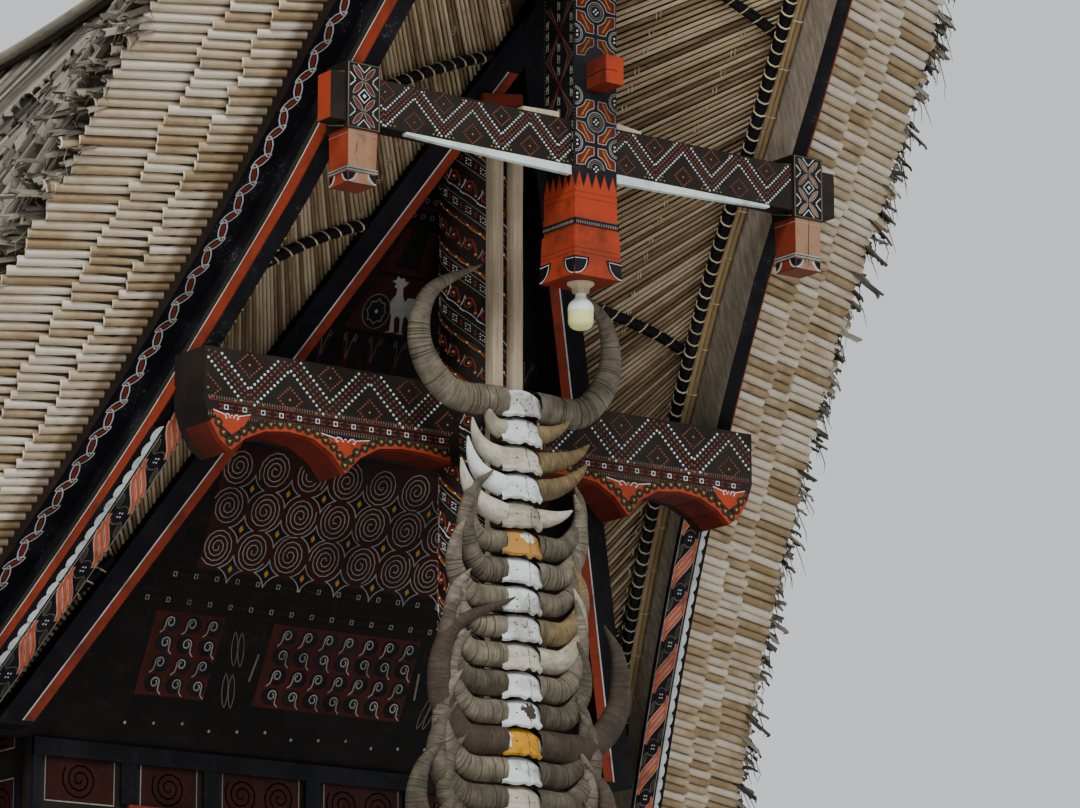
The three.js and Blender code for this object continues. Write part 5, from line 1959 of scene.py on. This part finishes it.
def pendant_face(way, side, end):
    """Paint on one face of the pendant, rubbed off in front and behind, and a scalloped collar below."""
    fresh = {"outer": "orange_paint" if side < 0 else "rust_paint", "inner": "rust_paint"}
    carving = Carving(block_face(CAP_MIDDLE, PENDANT_U, pendant_half, way, side, end))
    low, high = pendant_half(PENDANT_LOW), pendant_half(CAP_LOW)
    bottom, top = PENDANT_LOW + 0.002, CAP_LOW - 0.001
    body = [(-low, bottom), (low, bottom), (high, top), (-high, top)]
    carving.fill(body, fresh.get(way, "salmon_wood"), 0.0012)
    collar = [(-low - 0.006, 5.772), (low + 0.006, 5.772), (low + 0.005, 5.79), (-low - 0.005, 5.79)]
    carving.fill(collar, "grey_carving", 0.0072)
    carving.line([(-low - 0.005, 5.781), (low + 0.005, 5.781)], 0.004, "black_paint", 0.0085)
    carving.line([(-high, CAP_LOW - 0.02), (high, CAP_LOW - 0.02)], 0.003, "grey_carving", 0.0025)
    for mirror in (-1, 1):
        corner = (mirror * low, 5.766)
        edge = arc(*corner, -mirror * 0.04, -0.04, 0, 90, 5)
        outline = [corner] + edge
        if mirror > 0:
            outline.reverse()
        carving.fill(outline, "black_paint", 0.003)
        carving.line(edge, 0.005, "white_paint", 0.0045)
        inside = [(mix(mirror * low, a, 0.86), b + 0.004) for a, b in edge[1:5]]
        carving.line(inside, 0.0035, "grey_carving", 0.0045)
    if way == "front" and side > 0:
        carving.line([(0.006, 5.74), (0.002, 5.85), (0.006, CAP_LOW - 0.004)], 0.0035, "black_paint", 0.0022)
    return carving


def tenon_end(side, end):
    """The painted end grain of the upper beam outside its cap."""
    carving = Carving(flank_face(UPPER_REACH, side, end))
    edges = rectangle(UPPER_BACK + 0.002, UPPER_BOTTOM + 0.002, UPPER_U - 0.002, UPPER_TOP - 0.002)
    carving.fill(edges, "orange_paint" if side < 0 else "black_paint", 0.0015)
    return carving


# Rafters and leaning gable wall

def rafter_paint(side, end):
    carving = Carving(rafter_front(side, end))
    top = 6.56 if side < 0 else UPPER_BOTTOM
    heights = [mix(RAFTER_FOOT_Z + 0.02, top, k / 14) for k in range(15)]
    strips = ((0.002, 0.056, "dull_orange", 0.0015), (0.056, 0.063, "white_paint", 0.003))
    for low, high, name, height in strips:
        for z0, z1 in zip(heights, heights[1:]):
            carving.fill(rectangle(low, z0, high, z1), name, height)
    return carving


# Outline of the rooster from its tail's foot, in the units of ROOSTER_SCALE
ROOSTER = [
    (-60, 0), (-20, 8), (-10, 6), (-14, 78), (2, 92), (16, 80), (18, 12), (-2, 4), (40, 4), (30, 14),
    (34, 84), (46, 100), (70, 62), (96, 90), (102, 150), (84, 190), (50, 188), (34, 164), (22, 196),
    (20, 236), (36, 250), (48, 268), (28, 266), (22, 284), (4, 276), (-10, 290), (-18, 270), (-38, 258),
    (-16, 250), (-26, 232), (-10, 226), (-14, 196), (-38, 160), (-44, 116), (-30, 88), (-34, 12),
]
ROOSTER_FOOT = (0.2, 5.462)
ROOSTER_SCALE = (0.00105, 0.00083)
ROOSTER_LEAN = 0.0002


def sun_disc(carving, a, b):
    circle = oval(a, b, 0.072, 0.072, 32)
    carving.fill(circle, "black_paint", 0.004)
    carving.line(circle, 0.005, "dim_carving", 0.0055, closed=True)
    lobes = []
    for k in range(64):
        angle = 2 * math.pi * k / 64
        reach = 0.054 - 0.011 * abs(math.sin(4 * angle)) ** 0.7
        lobes.append((a + reach * math.cos(angle), b + reach * math.sin(angle)))
    carving.line(lobes, 0.006, "dim_carving", 0.0055, closed=True)
    carving.dot(a, b, 0.0095, "grey_carving", 0.006, 10)


def curled_leaf(carving, a, low, high):
    """A red leaf that splits into two curls, each outlined in pale grey, between the black tongues."""
    height = high - low
    right = [(0.008, 1), (0.014, 0.5), (0.038, 0.12), (0.03, 0), (0.008, 0.2)]
    outline = right + [(0, 0.42)] + [(-out, down) for out, down in reversed(right)]
    carving.fill([(a + out, high - down * height) for out, down in outline], "deep_red", 0.002)
    curl = ((0.001, 0.42), (0.01, 0.2), (0.026, 0.03), (0.036, 0.07), (0.03, 0.14), (0.022, 0.1))
    for mirror in (-1, 1):
        path = [(a + mirror * out, high - down * height) for out, down in curl]
        carving.line(path, 0.004, "dim_carving", 0.0035)


# Framed bars over the sun and rooster on one side of the gable wall, as corners
GABLE_BARS = (
    [(0.1, 5.71), (0.37, 5.71), (0.362, 5.735), (0.107, 5.735)],
    [(0.294, 5.736), (0.362, 5.736), (0.296, 5.9), (0.258, 5.9)],
    [(0.107, 5.736), (0.17, 5.736), (0.17, 5.9), (0.12, 5.9)],
)
GABLE_PANEL = [(0.085, 5.458), (0.487, 5.458), (0.37, 5.698), (0.085, 5.698)]


def gable_side(side, end):
    """One side of the gable wall: the sun and rooster on a panel, leaves below and rows of rings above."""
    carving = Carving(gable_face(side, end))
    for bar in GABLE_BARS:
        carving.fill(bar, "deep_red", 0.0025)
    carving.fill(GABLE_PANEL, "deep_red")
    carving.line([(0.085, 5.703), (0.38, 5.703)], 0.005, "black_paint", 0.0035)
    sun_disc(carving, 0.335, 5.543)
    foot_a, foot_b = ROOSTER_FOOT
    scale_a, scale_b = ROOSTER_SCALE
    figure = [(foot_a - x * scale_a + y * ROOSTER_LEAN, foot_b + y * scale_b) for x, y in reversed(ROOSTER)]
    carving.fill(figure, "grey_carving", 0.004)
    for k in range(5):
        curled_leaf(carving, 0.02 + 0.137 * k, 5.17, 5.445)
    for k in range(9):
        z = 5.93 + 0.066 * k
        reach = rafter_inner(z) - 0.05
        if reach > 0.12:
            carving.line([(0.1, z), (reach, z)], 0.012, "deep_red" if k % 2 else "black_paint")
            for a, b in along([(0.1, z + 0.03), (reach, z + 0.03)], 0.05):
                carving.line(oval(a, b, 0.01, 0.01, 8), 0.003, "dim_carving", closed=True)
    return carving


def banded_spiral(carving, a, b, start, hand):
    """A pale spiral with a dark red band between its turns."""
    carving.spiral(a, b, 0.084, 3.5, 0.0046, "grey_carving", start, hand)
    carving.spiral(a, b, 0.084, 3.5, 0.0112, "deep_red", start + math.pi, hand)


def hollow_star(carving, a, b):
    """A star with four hollow sides and an ochre heart, between four spirals."""
    star = []
    for k in range(24):
        turn = 2 * math.pi * k / 24
        star.append((a + 0.068 * math.cos(turn) ** 3, b + 0.06 * math.sin(turn) ** 3))
    carving.fill(star, "black_paint", 0.0032)
    carving.line(star, 0.0046, "grey_carving", 0.0045, closed=True)
    carving.fill(oval(a, b, 0.012, 0.017, 4), "ochre_paint", 0.0045)


def spiral_panel(carving, rows, reach):
    """Spirals in straight rows and columns, with a star in each gap."""
    first_a, first_b = SPIRAL_FIRST
    pitch_a, pitch_b = SPIRAL_PITCH
    low = first_b - pitch_b * (rows - 0.42)
    carving.fill(rectangle(-reach, low, reach, first_b + 0.09), "deep_red", 0.0006)
    columns = int((reach - 0.06) / pitch_a)
    for row in range(rows):
        z = first_b - pitch_b * row
        for k in range(-columns, columns + 1):
            a = first_a + pitch_a * k
            banded_spiral(carving, a, z, 1.9 * k + row, 1 if (k + row) % 2 else -1)
            if k < columns:
                hollow_star(carving, a + pitch_a / 2, z - pitch_b / 2)


SQUARE_PITCH = 0.111


def square_row(carving, reach, z):
    """A row of small ring squares joined by red dashes, between two comb lines."""
    count = int(reach / SQUARE_PITCH)
    for k in range(-count, count + 1):
        a = k * SQUARE_PITCH
        square = rectangle(a - 0.008, z - 0.009, a + 0.008, z + 0.009)
        carving.line(square, 0.0042, "grey_carving", closed=True)
        for lift in (0.006, -0.006):
            carving.line([(a + 0.025, z + lift), (a + 0.086, z - lift)], 0.005, "deep_red", 0.0015)
    for lift in (-0.034, 0.034):
        for a, b in along([(-reach, z + lift), (reach, z + lift)], 0.014):
            carving.line([(a, b - 0.006), (a, b + 0.006)], 0.005, "deep_red", 0.0015)


# The red bridge under a hook and the hook's own stem, as distances out and down from the middle of its cell
HOOK_BRIDGE = ((0.05, 0.05), (0.03, 0.026), (0.012, 0.012))
HOOK_STEM = ((0.044, 0.044), (0.026, 0.03), (0.023, 0.008))


def hook_panel(carving, middle, columns):
    """Hooked curls in black cells of a red net; every other row is turned round."""
    first_a, first_b = HOOK_FIRST
    pitch_a, pitch_b = HOOK_PITCH
    half = pitch_a * (columns + 0.62)
    low, high = first_b - pitch_b * 3.6, first_b + pitch_b * 0.55
    carving.fill(rectangle(middle - half, low, middle + half, high), "net_red", 0.0008)
    for row in range(4):
        z = first_b - pitch_b * row
        hand = -1 if row % 2 else 1
        for k in range(-columns, columns + 1):
            a = middle + first_a + pitch_a * k
            carving.fill(oval(a + hand * 0.006, z, 0.047, 0.038, 16), "black_paint", 0.0018)
            bridge = [(a - hand * out, z - down) for out, down in HOOK_BRIDGE]
            carving.line(bridge, 0.02, "net_red", 0.0022)
            stem = [(a - hand * out, z - down) for out, down in HOOK_STEM]
            curl = arc(a, z + 0.004, hand * 0.024, 0.024, 165, -265, 13, 0.375)
            carving.line(stem + curl, 0.0062, "grey_carving", 0.0038)


# Rows of squares across the gable wall: how far each reaches from the middle, and its height
SQUARE_ROWS = ((0.72, 5.09), (0.76, 4.99), (1.1, 4.343), (1.15, 4.233))


def gable_middle(end):
    """The wall behind the beams: spirals and hooks between rows of squares, leaves and dots below."""
    carving = Carving(gable_face(1, end))
    for reach, z in SQUARE_ROWS:
        square_row(carving, reach, z)
    spiral_panel(carving, 3, 0.9)
    hook_panel(carving, 0, 3)
    for side in (-1, 1):
        hook_panel(carving, 0.86 * side, 1)
        carving.line([(side * 0.449, 4.05), (side * 0.463, 3.93)], 0.011, "dim_carving", 0.003)
        carving.line([(side * 0.45, 4.17), (side * 0.458, 4.09)], 0.011, "deep_red")
        for spread in (0, 0.035):
            for a, b in ((0.54, 3.88), (0.55, 4.06)):
                carving.leaf(side * (a + spread), b, 0.15, 0.016, 1.32 * side, 0.004, "dim_carving")
    for k in range(15):
        carving.dot(-1.05 + 0.15 * k, 3.7 + 0.01 * (k % 3), 0.008, "grey_carving", 0.002)
    return carving


def short_tie(end):
    """A short red board nailed on the left rafter above the upper beam."""
    piece = Piece()
    front = gable_u(TIE_Z) + 0.03
    outline = ((-0.19, -0.028), (0.03, 0.002), (0.03, 0.052), (-0.19, 0.022))
    corners = [place(w, front, TIE_Z + rise, 1, end) for w, rise in outline]
    slab(piece, corners if end > 0 else corners[::-1], 0.05, "rust_paint")
    return piece


# Walls of framed panels

def spiral_cell(carving, a0, a1, b0, b1):
    """A red panel with a pale border, filled with rows of spirals."""
    inset = 0.03
    corners = rectangle(a0 + inset, b0 + inset, a1 - inset, b1 - inset)
    carving.fill(corners, "deep_red", 0.002)
    carving.line(corners, 0.008, "grey_carving", 0.004, closed=True)
    columns = max(1, round((a1 - a0 - 2 * inset) / WALL_SPIRAL))
    rows = max(1, round((b1 - b0 - 2 * inset) / WALL_SPIRAL))
    wide, tall = (a1 - a0 - 2 * inset) / columns, (b1 - b0 - 2 * inset) / rows
    for column in range(columns):
        for row in range(rows):
            a, b = a0 + inset + wide * (column + 0.5), b0 + inset + tall * (row + 0.5)
            hand = 1 if (column + row) % 2 else -1
            carving.spiral(a, b, min(wide, tall) * 0.44, 2.6, 0.009, "grey_carving", 1.3 * column, hand)


WIDEST_PANEL = 1.1


def upright_places(reach, holes):
    """Where the uprights stand: at the ends, beside each opening, and halfway in a wide gap."""
    edges = sorted({-reach, reach} | {a for hole in holes for a in hole[:2]})
    places = [edges[0]]
    for edge in edges[1:]:
        gap = edge - places[-1]
        if gap > WIDEST_PANEL:
            places.append(edge - gap / 2)
        places.append(edge)
    return places


def clear_spans(start, stop, cuts):
    """The stretches between start and stop that no cut takes away."""
    spans = [(start, stop)]
    for cut_low, cut_high in cuts:
        below = [(low, min(high, cut_low)) for low, high in spans]
        above = [(max(low, cut_high), high) for low, high in spans]
        spans = sorted(span for span in below + above if span[0] < span[1])
    return spans


def opening_rims(carving, hole, low):
    """Red bars beside, over and under an opening; a door has none under it."""
    a0, a1, b0, b1 = hole
    half = WALL_BAR / 2
    for corners in (rectangle(a0 - WALL_BAR, b0 - half, a0, b1 + half),
                    rectangle(a1, b0 - half, a1 + WALL_BAR, b1 + half),
                    rectangle(a0, b1, a1, b1 + WALL_BAR),
                    rectangle(a0, b0 - WALL_BAR, a1, b0)):
        if corners[2][1] > low + WALL_BAR:
            carving.fill(corners, "rust_paint", 0.026)


def framed_wall(carving, reach, low, high, holes):
    """Black rails and uprights round the openings, red rims, and carved panels in the cells between.

    A hole is given as its left and right edges, its bottom and its top.
    """
    half = WALL_BAR / 2
    uprights = upright_places(reach, holes)
    levels = sorted({low, high} | {b for hole in holes for b in hole[2:]})
    for a0, a1 in zip(uprights, uprights[1:]):
        for b0, b1 in zip(levels, levels[1:]):
            middle = (a0 + a1) / 2, (b0 + b1) / 2
            if not any(h[0] < middle[0] < h[1] and h[2] < middle[1] < h[3] for h in holes):
                spiral_cell(carving, a0 + half, a1 - half, b0 + half, b1 - half)
    for hole in holes:
        opening_rims(carving, hole, low)
    for a in uprights:
        cuts = [(h[2] - WALL_BAR, h[3] + WALL_BAR) for h in holes if h[0] - half < a < h[1] + half]
        for b0, b1 in clear_spans(low, high, cuts):
            left, right = max(a - half, -reach), min(a + half, reach)
            carving.fill(rectangle(left, b0, right, b1), "black_paint", 0.02)
    for b in (low + half, high - half):
        cuts = [h[:2] for h in holes if h[2] < b < h[3]]
        for a0, a1 in clear_spans(-reach, reach, cuts):
            carving.fill(rectangle(a0, b - half, a1, b + half), "black_paint", 0.023)


def side_wall_carving(side_name, side):
    low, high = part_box(f"{side_name}_wall")
    carving = Carving(flank_face(max(abs(low[0]), abs(high[0])), side, 1))
    middle = SIDE_DOOR if side < 0 else SIDE_WINDOW
    holes = [(u - half, u + half, bottom, top) for u, (half, bottom, top) in
             ((-SIDE_WINDOW_U, SIDE_WINDOW), (0, middle), (SIDE_WINDOW_U, SIDE_WINDOW))]
    framed_wall(carving, high[1], low[2], high[2], holes)
    return carving


def end_wall_carving(end_name, end):
    low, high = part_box(f"{end_name}_wall")
    carving = Carving(upright_face(max(abs(low[1]), abs(high[1])), 1, end))
    half, bottom, top = END_WINDOW
    holes = [(w - half, w + half, bottom, top) for w in (-END_WINDOW_W, END_WINDOW_W)]
    framed_wall(carving, high[0], low[2], high[2], holes)
    return carving


# Undersides of the beams, wedges and the lamp

def scalloped_underside(side, end):
    """Paint under the lower beam's scalloped edge: orange red near the front, and a darker red behind it as
    painted shade further under the beam.
    """
    piece = Piece()
    path = APRON + [(0.2, 4.772)]
    depths = (0.001, 0.03, 0.2)
    for (w0, z0), (w1, z1) in zip(path, path[1:]):
        # Lighter red on the front strip, darker red behind it: painted shade
        for near, far, name in zip(depths, depths[1:], ("rust_paint", "red_paint")):
            outline = ((w0, near, z0), (w1, near, z1), (w1, far, z1), (w0, far, z0))
            corners = [place(w, LOWER_U - depth, z - 0.0016, side, end) for w, depth, z in outline]
            piece.add(corners if side * end < 0 else corners[::-1], [(0, 1, 2, 3)], name)
    return piece


def beam_wedge(side, end):
    """A bare split of wood driven in on top of the upper beam beside the post."""
    piece = Piece()
    w0, w1 = (0.118, 0.275) if side > 0 else (0.18, 0.375)
    near, far = (0.03, 0.012) if side > 0 else (0.026, 0.018)
    low = UPPER_TOP + 0.001
    outline = [(w0, low), (w1, low), (w1, low + far), (w0, low + near)]
    corners = [place(w, UPPER_U - 0.004, z, side, end) for w, z in outline]
    slab(piece, corners if side * end > 0 else corners[::-1], 0.07, "batten")
    return piece


# The lamp's outlines, as radius and height under the post's foot
LAMP_COVER = [
    (0.002, -0.214), (0.02, -0.2125), (0.036, -0.207), (0.048, -0.198), (0.0545, -0.186), (0.0565, -0.172),
    (0.0565, -0.131),
]
LAMP_SHELL = [
    (0.0575, -0.1305), (0.0575, -0.112), (0.054, -0.099), (0.046, -0.087), (0.034, -0.077), (0.025, -0.068),
    (0.0225, -0.05),
]
LAMP_HOLDER = [
    (0.02, -0.05), (0.03, -0.048), (0.0345, -0.046), (0.0365, -0.03), (0.04, -0.024), (0.053, -0.013),
    (0.06, -0.009), (0.062, -0.001),
]
LAMP_SIDES = 28
HOLDER_SIDES = 32
HOLDER_GRIPS = 12


def turned(profile, centre, sides, name, piece):
    """A turned shape about an upright axis: the profile is a list of (radius, height)."""
    points = [centre + Vector((x, y, z)) for r, z in profile for x, y in oval(0, 0, r, r, sides)]
    piece.add(points, tube_faces(len(profile), sides), name)


def lamp_bulb():
    """The bulb: a white plastic shell above and a pale glowing cover below."""
    piece = Piece()
    centre = place(0, HANG_MIDDLE, HANG_BOTTOM)
    turned(LAMP_COVER, centre, LAMP_SIDES, "lamp_glow", piece)
    turned([LAMP_COVER[-1], LAMP_SHELL[0]], centre, LAMP_SIDES, "lamp_white", piece)
    turned(LAMP_SHELL, centre, LAMP_SIDES, "lamp_white", piece)
    return piece


def lamp_socket():
    """The lamp holder: a cup on the post's foot with a round flange and grips."""
    piece = Piece()
    centre = place(0, HANG_MIDDLE, HANG_BOTTOM)
    turned(LAMP_HOLDER, centre, HOLDER_SIDES, "cream_plastic", piece)
    for x, y in oval(0, 0, 1, 1, HOLDER_GRIPS):
        path = [centre + Vector((x * r, y * r, z)) for r, z in ((0.0362, -0.045), (0.0385, -0.028))]
        sweep(piece, path, [0.0022, 0.0022], 6, "cream_plastic")
    return piece


# Main program

CAMERA_SPOT = (-11.454, -20.830, 0.501)
CAMERA_TARGET = (0, -5.0646, 5.0)
CAMERA_LENS = 150
SENSOR_WIDTH = 36
CAMERA_REACH = 500
SKY_TONE = "e4e8ea"
SKY_STRENGTH = 1.0
# Lights: where each stands, its size in metres and its power
LIGHTS = {
    "key": ((-10, -19, 21), 7, 4700),
    "fill": ((17, -18, 12), 12, 500),
    "back": ((6, 24, 18), 14, 1300),
}
LIGHT_TARGET = (0, 0, 5)
STAGE_HALF = 60
RANDOM_SEED = 7


def stand(name, data, spot, target):
    """A camera or light at a spot, turned to its target."""
    made = bpy.data.objects.new(name, data)
    made.location = spot
    made.rotation_euler = (Vector(target) - made.location).to_track_quat("-Z", "Y").to_euler()
    bpy.context.scene.collection.objects.link(made)
    return made


def camera_and_light():
    scene = bpy.context.scene
    data = bpy.data.cameras.new("camera")
    data.lens = CAMERA_LENS
    data.sensor_width = SENSOR_WIDTH
    data.clip_end = CAMERA_REACH
    scene.camera = stand("camera", data, CAMERA_SPOT, CAMERA_TARGET)
    world = bpy.data.worlds.new("studio")
    world.use_nodes = True
    background = world.node_tree.nodes["Background"]
    background.inputs["Color"].default_value = tone(SKY_TONE)
    background.inputs["Strength"].default_value = SKY_STRENGTH
    scene.world = world
    for name, (spot, size, power) in LIGHTS.items():
        light = bpy.data.lights.new(name, "AREA")
        light.size = size
        light.energy = power
        stand(name, light, spot, LIGHT_TARGET)


def stage_floor():
    mesh = bpy.data.meshes.new("floor")
    corners = [(x, y, 0) for x, y in rectangle(-STAGE_HALF, -STAGE_HALF, STAGE_HALF, STAGE_HALF)]
    mesh.from_pydata(corners, [], [(0, 1, 2, 3)])
    mesh.materials.append(finish("floor"))
    floor = bpy.data.objects.new("floor", mesh)
    bpy.context.scene.collection.objects.link(floor)


# Finishes of the frame's pieces, by the first of these words that is in the name
# The roof and soffit under the bamboo are near black: painted shade in the gaps between tubes and slats
CAD_FINISHES = [
    ("pile_row", "old_timber"), ("cross_tie", "old_timber_cross"), ("floor_frame", "old_timber_cross"),
    ("floor_deck", "old_timber_long"), ("wall_plate", "old_timber_long"), ("ridge_beam", "old_timber_long"),
    ("roof", "inner_bamboo_shade"), ("gable_wall", "gable_ground_shade"), ("rafter", "black_paint"),
    ("left_barge_board", "left_barge"), ("right_barge_board", "right_barge"), ("soffit", "dark_slat"),
    ("lower_beam", "carved_ground"), ("upper_beam", "carved_ground"), ("middle_beam", "black_paint"),
    ("hanging_post", "post_ground"), ("cap", "cap_ground"), ("end_post", "carved_ground"),
    ("batten", "batten"), ("horns", "horn"), ("lamp_socket", "cream_plastic"), ("lamp_bulb", "lamp_white"),
    ("wall", "carved_ground"),
]


def dress_frame():
    for name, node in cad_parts.items():
        chosen = next(value for key, value in CAD_FINISHES if key in name)
        for material_slot in node.material_slots:
            material_slot.material = finish(chosen)


# Pieces on each side of each end: name, what makes it, and its slot
CORNER_PIECES = (
    ("soffit_poles", soffit_poles, "bamboo_slats"),
    ("edge_poles", edge_poles, "bamboo_slats"),
    ("barge_paint", barge_paint, "black_painted_timber"),
    ("barge_carving", barge_carving, "carved_timber"),
    ("facing_board", facing_board, "carved_timber"),
    ("facing_carving", facing_carving, "carved_timber"),
    ("lower_beam_carving", lower_beam_carving, "carved_timber"),
    ("upper_beam_carving", upper_beam_carving, "carved_timber"),
    ("upper_beam_strip", upper_beam_strip, "carved_timber"),
    ("lower_beam_underside", scalloped_underside, "carved_timber"),
    ("wedge", beam_wedge, "bare_timber"),
    ("cap_carving", cap_front, "carved_timber"),
    ("cap_outer_ribs", partial(cap_ribs, CAP_OUTER, 1), "carved_timber"),
    ("cap_inner_ribs", partial(cap_ribs, CAP_INNER, -1), "carved_timber"),
    *((f"pendant_{way}", partial(pendant_face, way), "red_painted_timber") for way in FACES_ROUND),
    ("tenon_end", tenon_end, "red_painted_timber"),
    ("rafter_paint", rafter_paint, "red_painted_timber"),
    ("gable_carving", gable_side, "carved_timber"),
)


def build_corner(side, end, prefix, rng):
    """What is there once on each side of each end."""
    verge_bamboo(side, end, rng).make(f"{prefix}_verge_bamboo", "layered_bamboo", sharp=65)
    verge_rags(side, end, rng).make(f"{prefix}_verge_rags", "layered_bamboo")
    soffit_slats(side, end, rng).make(f"{prefix}_slats", "bamboo_slats", sharp=75)
    soffit_stitches(side, end, rng).make(f"{prefix}_stitches", "bamboo_slats")
    for name, maker, slot in CORNER_PIECES:
        maker(side, end).make(f"{prefix}_{name}", slot)


def build_end(end_name, end):
    """What is there once at each end."""
    end_wall_carving(end_name, end).make(f"{end_name}_wall_carving")
    gable_middle(end).make(f"{end_name}_gable_middle")
    end_post_carving(end).make(f"{end_name}_post_carving")
    short_tie(end).make(f"{end_name}_short_tie", "red_painted_timber")
    for way in FACES_ROUND:
        hanging_post_face(way, end).make(f"{end_name}_hanging_post_{way}", "red_painted_timber")
    for index, carving in enumerate(peg_paint(end)):
        carving.make(f"{end_name}_peg_paint_{index}", "red_painted_timber")


def build():
    rng = random.Random(RANDOM_SEED)
    for side_name, side in SIDES.items():
        roof_cover(side, rng).make(f"{side_name}_roof_cover", "layered_bamboo")
    ridge_poles(rng).make("ridge_bamboo", "layered_bamboo")
    for end_name, end in ENDS.items():
        for side_name, side in SIDES.items():
            build_corner(side, end, f"{end_name}_{side_name}", rng)
        build_end(end_name, end)
    for side_name, side in SIDES.items():
        side_wall_carving(side_name, side).make(f"{side_name}_wall_carving")
    bones, horns, holes = buffalo_horns(1, rng)
    bones.make("skulls", "horn")
    holes.make("skull_holes", "horn")
    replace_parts(horns.make("horns", "horn", 60), "buffalo_horns")
    for side_name, side in SIDES.items():
        piece = batten(side, 1, rng).make(f"{side_name}_sawn_batten", "bare_timber")
        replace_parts(piece, f"{side_name}_horn_batten")
    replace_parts(lamp_bulb().make("bulb", "bulb"), "lamp_bulb")
    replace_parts(lamp_socket().make("lamp_holder", "socket_plastic"), "lamp_socket")


camera_and_light()
stage_floor()
dress_frame()
build()
